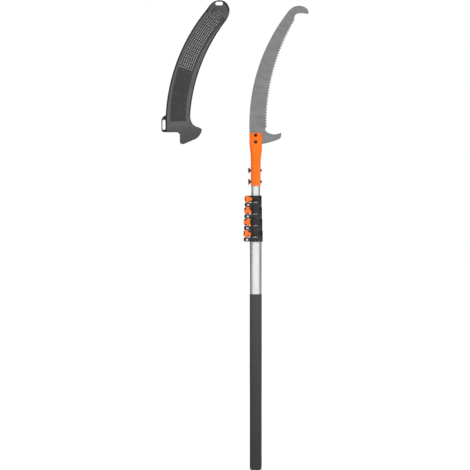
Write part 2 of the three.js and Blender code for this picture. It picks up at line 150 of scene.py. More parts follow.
def pick_points(piece: Piece, wanted: Callable[[Vector], bool]) -> None:
    """Select, in edit mode, the vertices that a test of their place accepts.

    Args:
        piece: The object being edited.
        wanted: Test of a vertex's place.
    """
    bpy.ops.mesh.select_mode(type="VERT")
    bpy.ops.mesh.select_all(action="DESELECT")
    mesh = bmesh.from_edit_mesh(piece.data)
    for vertex in mesh.verts:
        vertex.select_set(wanted(vertex.co))
    mesh.select_flush(True)
    bmesh.update_edit_mesh(piece.data)


def settle(piece: Piece) -> Piece:
    """Put a piece's place, turn and size into its mesh, so that its object sits at the origin.

    Args:
        piece: The object to settle.

    Returns:
        The same object.
    """
    select_only(piece)
    bpy.ops.object.transform_apply(location=True, rotation=True, scale=True)
    return piece


def named(name: str) -> Piece:
    """Name the object that an operator has just made, and its mesh, and settle it.

    Args:
        name: The object's new name.

    Returns:
        The active object.
    """
    piece = bpy.context.active_object
    piece.name = name
    piece.data.name = name
    return settle(piece)


def apply_modifier(piece: Piece, kind: str, **settings: object) -> Piece:
    """Add one modifier with these settings and apply it.

    Args:
        piece: The object to modify.
        kind: The modifier's type, such as "SOLIDIFY".
        settings: Its properties by name.

    Returns:
        The same object.
    """
    select_only(piece)
    modifier = piece.modifiers.new(kind.lower(), kind)
    for key, value in settings.items():
        setattr(modifier, key, value)
    bpy.ops.object.modifier_apply(modifier=modifier.name)
    return piece


def combine(piece: Piece, tool: Piece, operation: str) -> Piece:
    """Join, cut or trim a piece with a tool, which is used up.

    Args:
        piece: The object that stays.
        tool: The object that acts on it.
        operation: "UNION", "DIFFERENCE" or "INTERSECT".

    Returns:
        The piece.
    """
    apply_modifier(piece, "BOOLEAN", operation=operation, object=tool, solver="EXACT")
    bpy.data.objects.remove(tool)
    return piece


def add_all(piece: Piece, *tools: Piece) -> Piece:
    """Join every tool to the piece."""
    for tool in tools:
        combine(piece, tool, "UNION")
    return piece


def cut_all(piece: Piece, *tools: Piece) -> Piece:
    """Cut every tool out of the piece."""
    for tool in tools:
        combine(piece, tool, "DIFFERENCE")
    return piece


def gather(pieces: Sequence[Piece], name: str) -> Piece:
    """Make several separate bodies one object.

    Args:
        pieces: The objects to gather; the last one stays.
        name: The result's name.

    Returns:
        The one object.
    """
    select_only(*pieces)
    bpy.ops.object.join()
    return named(name)


def flatten_faces(piece: Piece, angle: float = 0.5) -> Piece:
    """Merge faces that lie in one plane, as a boolean leaves many of them.

    Args:
        piece: The object to clean.
        angle: Largest angle between merged faces, in degrees.

    Returns:
        The same object.
    """
    with editing(piece, everything=True):
        bpy.ops.mesh.remove_doubles(threshold=0.002 * MM)
        bpy.ops.mesh.dissolve_limited(angle_limit=math.radians(angle))
    return piece


def round_edges(piece: Piece, width: float, segments: int = 2, angle: float = 30) -> Piece:
    """Round the edges that are sharper than an angle.

    Args:
        piece: The object to round.
        width: Width of the rounding, in metres.
        segments: Strips across it.
        angle: Smallest edge angle that is rounded, in degrees.

    Returns:
        The same object.
    """
    return apply_modifier(
        piece, "BEVEL", width=width, segments=segments, limit_method="ANGLE",
        angle_limit=math.radians(angle), use_clamp_overlap=True, miter_outer="MITER_ARC",
    )


def smooth(piece: Piece, angle: float = 32) -> Piece:
    """Shade smooth across every edge flatter than an angle.

    Args:
        piece: The piece to shade.
        angle: The angle, in degrees.

    Returns:
        The same piece.
    """
    select_only(piece)
    bpy.ops.object.shade_smooth_by_angle(angle=math.radians(angle))
    return piece


def copy_of(piece: Piece, name: str) -> Piece:
    """Copy a piece with a mesh of its own.

    Args:
        piece: The piece to copy.
        name: The copy's name.

    Returns:
        The copy.
    """
    twin = piece.copy()
    twin.data = piece.data.copy()
    bpy.context.scene.collection.objects.link(twin)
    twin.name = name
    twin.data.name = name
    return twin


def moved(piece: Piece, offset: Point, turn: Point = (0.0, 0.0, 0.0)) -> Piece:
    """Turn a piece about the origin, then shift it, and settle both into its mesh.

    Args:
        piece: The object to move.
        offset: The shift, in metres.
        turn: Euler angles, in radians.

    Returns:
        The same object.
    """
    piece.location = offset
    piece.rotation_euler = turn
    return settle(piece)


# ---------------------------------------------------------------- bench: stock shapes


def rod(name: str, radius: float, low: float, high: float, sides: int = 64) -> Piece:
    """Make a cylinder along Z between two heights."""
    bpy.ops.mesh.primitive_cylinder_add(
        vertices=sides, radius=radius, depth=high - low, location=(0, 0, (low + high) / 2)
    )
    return named(name)


def cross_rod(name: str, radius: float, near: float, far: float, x: float, z: float) -> Piece:
    """Make a cylinder along Y between two depths, at the given X and Z."""
    bpy.ops.mesh.primitive_cylinder_add(
        vertices=48, radius=radius, depth=far - near,
        location=(x, (near + far) / 2, z), rotation=Along.FRONT.value,
    )
    return named(name)


def side_rod(name: str, radius: float, left: float, right: float, z: float) -> Piece:
    """Make a cylinder along X between two places, at the given height."""
    bpy.ops.mesh.primitive_cylinder_add(
        vertices=48, radius=radius, depth=right - left,
        location=((left + right) / 2, 0, z), rotation=Along.RIGHT.value,
    )
    return named(name)


def slab(name: str, low: Point, high: Point) -> Piece:
    """Make a box between two corners.

    Args:
        name: The box's name.
        low: Its lowest corner.
        high: Its highest corner.

    Returns:
        The box.
    """
    centre = [(a + b) / 2 for a, b in zip(low, high)]
    bpy.ops.mesh.primitive_cube_add(size=1, location=centre)
    bpy.context.active_object.scale = [b - a for a, b in zip(low, high)]
    return named(name)


def turned(name: str, profile: Sequence[Flat], steps: int = 48, closed: bool = False) -> Piece:
    """Spin a profile of (radius, height) points about Z, as on a lathe.

    Args:
        name: The piece's name.
        profile: Points from the foot up; the ends lie on the axis, or the profile closes on itself.
        steps: Number of steps round the axis.
        closed: Whether the last point joins the first.

    Returns:
        The turned piece.
    """
    points = [Vector((r, 0, z)) for r, z in profile]
    bpy.ops.mesh.primitive_plane_add(size=MM, location=points[0])
    piece = named(name)
    with editing(piece, everything=True):
        bpy.ops.mesh.merge(type="CENTER")
        for here, there in zip(points, points[1:] + (points[:1] if closed else [])):
            bpy.ops.mesh.extrude_region_move(TRANSFORM_OT_translate={"value": there - here})
        bpy.ops.mesh.select_all(action="SELECT")
        bpy.ops.mesh.spin(steps=steps, angle=2 * math.pi, center=(0, 0, 0), axis=(0, 0, 1))
        bpy.ops.mesh.select_all(action="SELECT")
        bpy.ops.mesh.remove_doubles(threshold=0.01 * MM)
        bpy.ops.mesh.normals_make_consistent(inside=False)
    return piece


def arc(centre: Flat, radius: float, start: float, end: float, count: int) -> list[Flat]:
    """Place points along an arc, both ends included.

    Args:
        centre: The circle's centre (x, z).
        radius: Its radius.
        start: First angle, in degrees from +X towards +Z.
        end: Last angle.
        count: Number of steps.

    Returns:
        The points (x, z).
    """
    angles = [math.radians(start + (end - start) * i / count) for i in range(count + 1)]
    return [(centre[0] + radius * math.cos(a), centre[1] + radius * math.sin(a)) for a in angles]


def bow(start: Flat, control: Flat, end: Flat, count: int = 6) -> list[Flat]:
    """Place points along a quadratic curve, without its first point.

    Args:
        start: Where the curve begins.
        control: The point that it bends towards.
        end: Where it ends.
        count: Number of steps.

    Returns:
        The points (x, z) after the first.
    """
    points = []
    for i in range(1, count + 1):
        t = i / count
        weights = ((1 - t) ** 2, 2 * t * (1 - t), t * t)
        points.append(tuple(
            sum(w * p[k] for w, p in zip(weights, (start, control, end))) for k in range(2)
        ))
    return points


def pressed(
    name: str, outlines: Sequence[Sequence[Flat]], near: float, far: float, rounding: float = 0.0
) -> Piece:
    """Make a flat plate in the XZ plane from an outer outline and any holes in it.

    Args:
        name: The piece's name.
        outlines: Closed outlines (x, z); an outline inside another is a hole.
        near: The face towards -Y.
        far: The face towards +Y.
        rounding: Radius of its rounded edges.

    Returns:
        The plate as a mesh.
    """
    curve = bpy.data.curves.new(name, "CURVE")
    curve.dimensions = "2D"
    curve.fill_mode = "BOTH"
    curve.extrude = (far - near) / 2 - rounding
    curve.bevel_depth = rounding
    curve.bevel_resolution = 1
    curve.offset = -rounding
    for outline in outlines:
        spline = curve.splines.new("POLY")
        spline.points.add(len(outline) - 1)
        for point, (x, z) in zip(spline.points, outline):
            point.co = (x, z, 0, 1)
        spline.use_cyclic_u = True
    plate = bpy.data.objects.new(name, curve)
    bpy.context.scene.collection.objects.link(plate)
    select_only(plate)
    bpy.ops.object.convert(target="MESH")
    plate = moved(bpy.context.active_object, (0, (near + far) / 2, 0), Along.FRONT.value)
    with editing(plate, everything=True):
        bpy.ops.mesh.remove_doubles(threshold=0.004 * MM)
        bpy.ops.mesh.normals_make_consistent(inside=False)
    return plate


# ---------------------------------------------------------------- finishes


class Graph:
    """Builds a shader node tree, node by node."""

    def __init__(self, tree: bpy.types.NodeTree) -> None:
        """Start from an empty tree.

        Args:
            tree: The node tree to fill.
        """
        self.tree = tree
        self.tree.nodes.clear()
        self.coordinates = self.add("ShaderNodeTexCoord")

    def add(self, kind: str, **inputs: object) -> bpy.types.Node:
        """Add a node and feed its inputs by name.

        Args:
            kind: The node's type.
            inputs: A value or an output socket for each named input.

        Returns:
            The node.
        """
        node = self.tree.nodes.new(kind)
        for key, value in inputs.items():
            self.feed(node.inputs[key], value)
        return node

    def feed(self, socket: bpy.types.NodeSocket, value: object) -> None:
        """Link an output to an input, or set the input's own value."""
        if isinstance(value, bpy.types.NodeSocket):
            self.tree.links.new(value, socket)
        else:
            socket.default_value = value

    def sum(self, operation: str, *terms: object) -> bpy.types.NodeSocket:
        """Do one step of arithmetic.

        Args:
            operation: The Math node's operation, such as "MULTIPLY".
            terms: Values or sockets, in order.

        Returns:
            The result's socket.
        """
        node = self.add("ShaderNodeMath")
        node.operation = operation
        for socket, term in zip(node.inputs, terms):
            self.feed(socket, term)
        return node.outputs[0]

    def remap(self, value: object, low: float, high: float, start: float, end: float) -> object:
        """Map a range onto another, clamped.

        Args:
            value: The socket or number to map.
            low: The range's start.
            high: The range's end.
            start: What its start becomes.
            end: What its end becomes.

        Returns:
            The result's socket.
        """
        node = self.tree.nodes.new("ShaderNodeMapRange")
        for socket, fed in zip(node.inputs, (value, low, high, start, end)):
            self.feed(socket, fed)
        return node.outputs[0]


class Recipe(Graph):
    """Builds one procedural material on object coordinates."""

    def __init__(self, name: str) -> None:
        """Start a material with a Principled shader and nothing else.

        Args:
            name: The material's name.
        """
        self.material = bpy.data.materials.new(name)
        self.material.use_nodes = True
        super().__init__(self.material.node_tree)
        self.shader = self.add("ShaderNodeBsdfPrincipled")
        output = self.add("ShaderNodeOutputMaterial")
        self.tree.links.new(self.shader.outputs[0], output.inputs[0])
        self.place = self.coordinates.outputs["Object"]

    def set(self, **inputs: object) -> None:
        """Feed the shader's inputs, with _ for each space in a name."""
        for key, value in inputs.items():
            self.feed(self.shader.inputs[key.replace("_", " ")], value)

    def base(self) -> bpy.types.NodeSocket:
        """Return the socket that feeds the shader's base colour so far."""
        return self.shader.inputs["Base Color"].links[0].from_socket

    def stretched(self, scale: Point, place: object = None) -> bpy.types.NodeSocket:
        """Scale the coordinates by a different amount along each axis."""
        node = self.add("ShaderNodeMapping", Vector=place or self.place, Scale=scale)
        return node.outputs[0]

    def noise(self, place: object, scale: float, detail: float = 3, rough: float = 0.5) -> object:
        """Add a noise texture and return its value socket."""
        node = self.add("ShaderNodeTexNoise", Vector=place, Scale=scale, Detail=detail, Roughness=rough)
        return node.outputs["Fac"]

    def blend(self, share: object, first: object, second: object) -> bpy.types.NodeSocket:
        """Mix two colours by a share of the second.

        Args:
            share: The second colour's share, a value or a socket.
            first: RGB values or a colour socket.
            second: RGB values or a colour socket.

        Returns:
            The mixed colour's socket.
        """
        node = self.tree.nodes.new("ShaderNodeMix")
        node.data_type = "RGBA"
        self.feed(node.inputs["Factor"], share)
        for socket, colour in ((node.inputs[6], first), (node.inputs[7], second)):
            self.feed(socket, colour if isinstance(colour, bpy.types.NodeSocket) else (*colour, 1))
        return node.outputs[2]

    def relief(self, height: object, strength: float, depth: float, under: object = None) -> object:
        """Bump the surface by a height.

        Args:
            height: The height's socket.
            strength: How strongly it shows, 0 to 1.
            depth: The height's size, in metres.
            under: The normal of a bump below this one.

        Returns:
            The normal's socket.
        """
        node = self.add("ShaderNodeBump", Height=height, Strength=strength, Distance=depth)
        if under is not None:
            self.feed(node.inputs["Normal"], under)
        return node.outputs[0]

    def polar(self, centre: Flat) -> tuple[object, object]:
        """Measure the distance from, and the angle about, a point of the XZ plane.

        Args:
            centre: The point (x, z).

        Returns:
            The sockets of the distance, in metres, and of the angle, in radians.
        """
        split = self.add("ShaderNodeSeparateXYZ", Vector=self.place)
        dx = self.sum("SUBTRACT", split.outputs[0], centre[0])
        dz = self.sum("SUBTRACT", split.outputs[2], centre[1])
        squares = self.sum("ADD", self.sum("MULTIPLY", dx, dx), self.sum("MULTIPLY", dz, dz))
        return self.sum("SQRT", squares), self.sum("ARCTAN2", dz, dx)

    def full_turn(self, angle: object) -> object:
        """Count an angle from 0 to a full turn and return its socket, in radians."""
        return self.sum("MODULO", self.sum("ADD", angle, 2 * math.pi), 2 * math.pi)

    def between(self, value: object, rise: Flat, fall: Flat) -> object:
        """Mark where a value lies between two soft limits.

        Args:
            value: The value's socket.
            rise: Where the mark starts, and where it is full.
            fall: Where it starts to fade, and where it is gone.

        Returns:
            The mark's socket, 0 to 1.
        """
        return self.sum("MULTIPLY", self.remap(value, *rise, 0, 1), self.remap(value, *fall, 1, 0))


@dataclass(frozen=True)
class DrawnAluminium:
    """Anodised tube: satin, with fine lines drawn along it and faint handling marks."""

    name: str = "drawn_aluminium"
    light: Point = (0.80, 0.803, 0.806)
    dark: Point = (0.69, 0.694, 0.70)
    roughness: Flat = (0.30, 0.42)

    def build(self) -> bpy.types.Material:
        """Make the material.

        Returns:
            The material.
        """
        mix = Recipe(self.name)
        lines = mix.noise(mix.stretched((1, 1, 0.012)), 900, 4, 0.7)
        cloud = mix.noise(mix.stretched((1, 1, 0.25)), 45, 3)
        marks = mix.noise(mix.stretched((1, 1, 0.06)), 420, 2)
        scratch = mix.remap(marks, 0.68, 0.74, 0, 1)
        tone = mix.sum("MULTIPLY_ADD", lines, 0.6, mix.sum("MULTIPLY", cloud, 0.4))
        colour = mix.blend(mix.remap(tone, 0.35, 0.65, 0, 1), self.dark, self.light)
        rough = mix.remap(tone, 0.3, 0.7, *self.roughness)
        mix.set(
            Base_Color=mix.blend(mix.sum("MULTIPLY", scratch, 0.25), colour, (0.86, 0.86, 0.86)),
            Metallic=0.9,
            Roughness=mix.sum("MULTIPLY_ADD", scratch, -0.08, rough),
            Normal=mix.relief(lines, 0.12, 0.05 * MM),
        )
        return mix.material


@dataclass(frozen=True)
class Moulded:
    """Moulded plastic: one colour with cloudy variation, fine grain, scuffs and rubbed high spots."""

    name: str
    colour: Point
    rubbed: Point
    roughness: float = 0.5
    grain: float = 1500.0
    grain_depth: float = 0.04
    scuff: float = 0.35
    coat: float = 0.0
    sheen: float = 0.5

    def build(self) -> bpy.types.Material:
        """Return the material."""
        return self.mixed().material

    def mixed(self) -> Recipe:
        """Build the nodes.

        Returns:
            The recipe, for a finish that adds to it.
        """
        mix = Recipe(self.name)
        cloud = mix.noise(mix.place, 38, 4, 0.6)
        grain = mix.noise(mix.place, self.grain, 2, 0.6)
        scuffs = mix.noise(mix.stretched((1, 1, 0.22)), 210, 5, 0.75)
        worn = mix.sum("MULTIPLY", mix.remap(scuffs, 0.56, 0.70, 0, 1), self.scuff)
        share = mix.sum("MULTIPLY_ADD", mix.remap(cloud, 0.35, 0.7, 0, 1), 0.22, worn)
        low, high = self.roughness - 0.06, self.roughness + 0.06
        mix.set(
            Base_Color=mix.blend(share, self.colour, self.rubbed),
            Roughness=mix.sum("MULTIPLY_ADD", worn, 0.25, mix.remap(cloud, 0.3, 0.7, low, high)),
            Normal=mix.relief(grain, 0.5, self.grain_depth * MM),
            Coat_Weight=self.coat,
            Coat_Roughness=0.12,
            Specular_IOR_Level=self.sheen,
        )
        return mix


@dataclass(frozen=True)
class GripRubber(Moulded):
    """Grip rubber with painted light: paler towards its top, as if lit more from above, and darker
    towards its foot.
    """

    # Painted light: the colour that the grip pales to at its top, the heights of the fade, and its
    # largest share.
    pale: Point = (0.075, 0.077, 0.079)
    heights: Flat = (0.06, 0.56)
    most: float = 0.35

    def build(self) -> bpy.types.Material:
        """Make the material.

        Returns:
            The material.
        """
        mix = self.mixed()
        height = mix.add("ShaderNodeSeparateXYZ", Vector=mix.place).outputs[2]
        # Painted light: the colour grows paler with height, standing in for more light at the top.
        painted_top_light = mix.remap(height, *self.heights, 0, self.most)
        mix.feed(mix.shader.inputs["Base Color"], mix.blend(painted_top_light, mix.base(), self.pale))
        return mix.material


@dataclass(frozen=True)
class SheathPlastic(Moulded):
    """Sheath plastic, finely grained, with painted shade darkening its recessed panel, its hook cover,
    its tip and a band along its outer edge.
    """

    hub: Flat = (0.221, 1.0545)
    panel: Flat = (0.4305, 0.4775)
    ends: Flat = (136.3, 181.2)
    # Painted shade: the share by which the recessed panel darkens, and the colour of all the painted
    # shade.
    dark: float = 0.60
    shadow: Point = (0.004, 0.004, 0.004)
    # Colour of the painted shade along the outer edge.
    edge_shade_colour: Point = (0.004, 0.004, 0.005)
    cover: Flat = (1.010, 1.035)         # heights over which the hook cover's shade fades out
    crown: Flat = (1.355, 1.380)         # and the tip's shade fades in
    # Circles and radii that bound the painted shade along the outer edge.
    back: Flat = (0.2738, 1.0351)
    back_rim: float = 0.5401
    edge: Flat = (0.3285, 1.0274)
    edge_rim: float = 0.5300
    tip: Flat = (-0.1125, 1.3735)
    tip_rim: float = 0.0295

    def build(self) -> bpy.types.Material:
        """Make the material.

        Returns:
            The material.
        """
        mix = self.mixed()
        ease = 0.4 * MM
        across, angle = mix.polar(self.hub)
        start, end = (math.radians(degrees) for degrees in self.ends)
        inner, outer = self.panel
        sides = mix.between(across, (inner - ease, inner + ease), (outer - ease, outer + ease))
        length = mix.between(mix.full_turn(angle), (start, start + 0.002), (end - 0.001, end))
        # Painted shade over the recessed panel.
        panel_shade = mix.sum("MULTIPLY", mix.sum("MULTIPLY", sides, length), self.dark)
        height = mix.add("ShaderNodeSeparateXYZ", Vector=mix.place).outputs[2]
        cover = mix.remap(height, *self.cover, 0.4, 0)
        crown = mix.remap(height, *self.crown, 0, 0.3)
        shade = mix.sum("MAXIMUM", panel_shade, mix.sum("MAXIMUM", cover, crown))
        inside = mix.blend(shade, mix.base(), self.shadow)
        # Painted shade along the rounded outer edge, nearly black.
        rim = mix.sum("MULTIPLY", self.edge_shade_mask(mix, ease), 0.95)
        mix.feed(mix.shader.inputs["Base Color"], mix.blend(rim, inside, self.edge_shade_colour))
        return mix.material

    def edge_shade_mask(self, mix: Recipe, ease: float) -> object:
        """Mark the painted shade, a nearly black band, that runs along the back, round the tip and along
        the inner edge.

        Args:
            mix: The recipe to add nodes to.
            ease: Half the width of the rim's soft inner side, in metres.

        Returns:
            The socket of the painted edge shade's share, 0 to 1.
        """
        height = mix.add("ShaderNodeSeparateXYZ", Vector=mix.place).outputs[2]
        above_hook = mix.remap(height, 1.058, 1.066, 0, 1)
        at_tip = mix.remap(height, 1.371, 1.374, 0, 1)
        to_back, _ = mix.polar(self.back)
        to_edge, _ = mix.polar(self.edge)
        to_tip, _ = mix.polar(self.tip)
        back = mix.remap(to_back, self.back_rim - ease, self.back_rim + ease, 0, 1)
        edge = mix.remap(to_edge, self.edge_rim - ease, self.edge_rim + ease, 1, 0)
        round_tip = mix.remap(to_tip, self.tip_rim - ease, self.tip_rim + ease, 0, 1)
        crown = mix.sum("MULTIPLY", at_tip, round_tip)
        sides = mix.sum("MAXIMUM", back, mix.sum("MULTIPLY", above_hook, edge))
        below_tip = mix.sum("SUBTRACT", 1.0, at_tip)
        return mix.sum("MAXIMUM", crown, mix.sum("MULTIPLY", below_tip, sides))


@dataclass(frozen=True)
class GlossPaint:
    """Glossy baked coating with slight orange peel, specks of dust and fine handling marks."""

    name: str = "orange_coating"
    colour: Point = (0.75, 0.134, 0.004)
    deep: Point = (0.66, 0.110, 0.003)
    chip: Point = (0.30, 0.27, 0.25)
    chip_height: float = 0.8515

    def build(self) -> bpy.types.Material:
        """Make the material.

        Returns:
            The material.
        """
        mix = Recipe(self.name)
        cloud = mix.noise(mix.place, 55, 3)
        peel = mix.noise(mix.place, 520, 2)
        marks = mix.noise(mix.stretched((1, 1, 0.15)), 380, 3, 0.7)
        rubbed = mix.remap(marks, 0.64, 0.72, 0, 1)
        split = mix.add("ShaderNodeSeparateXYZ", Vector=mix.place)
        foot = mix.remap(split.outputs[2], self.chip_height, self.chip_height + 2.5 * MM, 1, 0)
        ragged = mix.noise(mix.place, 700, 4, 0.7)
        chips = mix.remap(mix.sum("ADD", foot, ragged), 1.25, 1.32, 0, 1)
        coated = mix.blend(mix.remap(cloud, 0.3, 0.7, 0, 1), self.deep, self.colour)
        mix.set(
            Base_Color=mix.blend(chips, coated, self.chip),
            Roughness=mix.sum("MULTIPLY_ADD", rubbed, 0.16, 0.24),
            Normal=mix.relief(peel, 0.18, 0.06 * MM),
            Coat_Weight=0.1,
            Coat_Roughness=0.06,
            Specular_IOR_Level=0.2,
        )
        return mix.material


@dataclass(frozen=True)
class GroundSteel:
    """Ground saw steel: grain across the blade, a brighter ground band along the teeth."""

    spine: Flat
    teeth: Flat
    tooth_radius: float
    name: str = "ground_steel"
    light: Point = (0.30, 0.302, 0.305)
    dark: Point = (0.16, 0.162, 0.165)
    bright: Point = (0.50, 0.50, 0.49)
    band: float = 5 * MM
    ends: Flat = (149.0, 181.4)

    def build(self) -> bpy.types.Material:
        """Make the material.

        Returns:
            The material.
        """
        mix = Recipe(self.name)
        across, angle = mix.polar(self.spine)
        grain_place = mix.add("ShaderNodeCombineXYZ", X=mix.sum("MULTIPLY", angle, 480 * MM), Y=across)
        grain = mix.noise(mix.stretched((1, 0.05, 1), grain_place.outputs[0]), 1300, 5, 0.75)
        broad = mix.noise(mix.stretched((1, 0.25, 1), grain_place.outputs[0]), 60, 4, 0.6)
        stain = mix.noise(mix.place, 24, 5, 0.65)
        depth, turn = mix.polar(self.teeth)
        reach = mix.sum("SUBTRACT", depth, self.tooth_radius)
        first, last = (math.radians(degrees) for degrees in self.ends)
        along = mix.between(mix.full_turn(turn), (first, first + 0.003), (last - 0.002, last))
        band = self.band
        across_band = mix.between(reach, (-band * 0.9, -band * 0.7), (band * 0.4, band * 0.6))
        edge = mix.sum("MULTIPLY", along, across_band)
        tone = mix.sum("MULTIPLY_ADD", grain, 0.55, mix.sum("MULTIPLY", broad, 0.45))
        body = mix.blend(mix.remap(tone, 0.32, 0.68, 0, 1), self.dark, self.light)
        stained = mix.blend(mix.remap(stain, 0.55, 0.75, 0, 0.3), body, (0.22, 0.215, 0.21))
        mix.set(
            Base_Color=mix.blend(mix.sum("MULTIPLY", edge, 0.22), stained, self.bright),
            Metallic=0.95,
            Roughness=mix.sum("MULTIPLY_ADD", edge, -0.10, mix.remap(tone, 0.3, 0.7, 0.36, 0.48)),
            Normal=mix.relief(grain, 0.16, 0.04 * MM),
        )
        return mix.material


@dataclass(frozen=True)
class PlatedSteel:
    """Plated fastener steel: a thin finish with fine turning marks, rubbed bright in places."""

    name: str
    colour: Point
    rubbed: Point
    metallic: float = 1.0
    roughness: float = 0.32
    wear: float = 0.5

    def build(self) -> bpy.types.Material:
        """Make the material.

        Returns:
            The material.
        """
        mix = Recipe(self.name)
        cloud = mix.noise(mix.place, 260, 4, 0.6)
        fine = mix.noise(mix.place, 1700, 2)
        wear = mix.sum("MULTIPLY", mix.remap(cloud, 0.52, 0.70, 0, 1), self.wear)
        mix.set(
            Base_Color=mix.blend(wear, self.colour, self.rubbed),
            Metallic=self.metallic,
            Roughness=mix.remap(cloud, 0.3, 0.7, self.roughness - 0.07, self.roughness + 0.1),
            Normal=mix.relief(fine, 0.25, 0.02 * MM),
        )
        return mix.material


class Finishes:
    """The saw's finishes, one material for each of the record's slots."""

    def __init__(self, blade: "BladePlan") -> None:
        """Build every material.

        Args:
            blade: The blade's plan, whose circles set the direction of its grain.
        """
        sheath = SheathPlastic(
            "sheath_plastic", (0.060, 0.061, 0.062), (0.15, 0.15, 0.155),
            roughness=0.40, grain=1100, grain_depth=0.05, scuff=0.3, sheen=0.3,
        )
        grip = GripRubber(
            "grip_rubber", (0.020, 0.021, 0.022), (0.045, 0.046, 0.048),
            roughness=0.62, grain=900, grain_depth=0.08, scuff=0.3, sheen=0.25,
        )
        plug = Moulded("plug_plastic", (0.020, 0.020, 0.021), (0.05, 0.05, 0.05), sheen=0.3)
        collar = Moulded(
            "collar_plastic", (0.008, 0.008, 0.009), (0.03, 0.03, 0.032),
            roughness=0.28, grain_depth=0.03, scuff=0.25, sheen=0.4,
        )
        knob = Moulded(
            "knob_plastic", (0.72, 0.115, 0.005), (0.85, 0.18, 0.03),
            roughness=0.36, grain=1300, grain_depth=0.03, scuff=0.3, coat=0.1, sheen=0.3,
        )
        self.by_slot = {
            Slot.TUBE: DrawnAluminium().build(),
            Slot.GRIP: grip.build(),
            Slot.DARK_PLASTIC: plug.build(),
            Slot.COLLAR: collar.build(),
            Slot.KNOB: knob.build(),
            Slot.BUSH: Moulded("bush_nylon", (0.70, 0.68, 0.62), (0.8, 0.79, 0.75), 0.45).build(),
            Slot.ZINC: PlatedSteel("zinc_plate", (0.62, 0.63, 0.64), (0.85, 0.85, 0.84)).build(),
            Slot.BLACK_STEEL: PlatedSteel(
                "black_oxide", (0.016, 0.013, 0.012), (0.14, 0.12, 0.11), 0.7, 0.38, 0.35).build(),
            Slot.ORANGE_PAINT: GlossPaint().build(),
            Slot.BLADE: GroundSteel(blade.spine, blade.teeth, blade.tooth_radius).build(),
            Slot.SHEATH: sheath.build(),
        }

    def hand_over(self, piece: Piece, slot: Slot, body: str, *nodes: str) -> Piece:
        """Dress a finished piece and put it on its body in place of the nodes that it stands for.

        Args:
            piece: The finished object.
            slot: Its material slot.
            body: The body that it rides on.
            nodes: The CAD nodes that it replaces.

        Returns:
            The same object.
        """
        piece.data.materials.clear()
        piece.data.materials.append(self.by_slot[slot])
        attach(piece, body)
        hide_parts(*nodes)
        log.info("%s: %d faces, %s, on %s", piece.name, len(piece.data.polygons), slot.value, body)
        return piece


def section_body(section: int) -> str:
    """Name the body of a pole section."""
    return {1: "handle", 5: "head"}.get(section, f"section_{section}")


# ---------------------------------------------------------------- fasteners


def threaded(radius: float, low: float, high: float, pitch: float = 0.8 * MM) -> list[Flat]:
    """Lay out the profile of a threaded length as a row of ridges.

    Args:
        radius: The thread's outer radius.
        low: Where it starts along the axis.
        high: Where it ends.
        pitch: Distance between ridges.

    Returns:
        Points (radius, height) from low to high.
    """
    count = max(1, int((high - low) / pitch))
    points = []
    for i in range(count):
        foot = low + i * pitch
        points += [(radius - 0.35 * MM, foot), (radius, foot + pitch * 0.45)]
    return points + [(radius - 0.35 * MM, low + count * pitch)]


def hex_nut(name: str, radius: float, height: float, bore: float) -> Piece:
    """Make a chamfered hexagon nut from z = 0 up.

    Args:
        name: The piece's name.
        radius: Radius over its corners.
        height: Its thickness.
        bore: Radius of its hole.

    Returns:
        The nut.
    """
    nut = rod(name, radius, 0, height, 6)
    chamfer = height * 0.22
    flat = radius * 0.88
    trim = turned("trim", [
        (0, 0), (flat, 0), (radius * 1.02, chamfer),
        (radius * 1.02, height - chamfer), (flat, height), (0, height),
    ])
    combine(nut, trim, "INTERSECT")
    cut_all(nut, rod("bore", bore, -MM, height + MM, 32))
    round_edges(nut, 0.15 * MM, 1, 40)
    return smooth(nut)


def round_head_screw(
    name: str, head: float, height: float, shank: float, length: float, drive: float
) -> Piece:
    """Make a domed screw along Z, its head's flat side at z = 0 and its thread below.

    Args:
        name: The piece's name.
        head: Head radius.
        height: Head height.
        shank: Shank radius.
        length: Shank length.
        drive: Radius of the recess in its head, a hexagon.

    Returns:
        The screw.
    """
    grip_length = length * 0.45
    profile = [(0, -length), (shank - 0.6 * MM, -length)]
    profile += threaded(shank, -length + 0.4 * MM, -grip_length)
    profile += [(shank, -grip_length + 0.1 * MM), (shank, 0), (head, 0), (head, height * 0.3)]
    profile += [(head * math.cos(a), height * (0.3 + 0.7 * math.sin(a))) for a in (0.35, 0.7, 1.05, 1.3)]
    screw = turned(name, [*profile, (0, height)], 40)
    cut_all(screw, rod("drive", drive, height * 0.35, height + MM, 6))
    return smooth(screw, 28)


# ---------------------------------------------------------------- pole


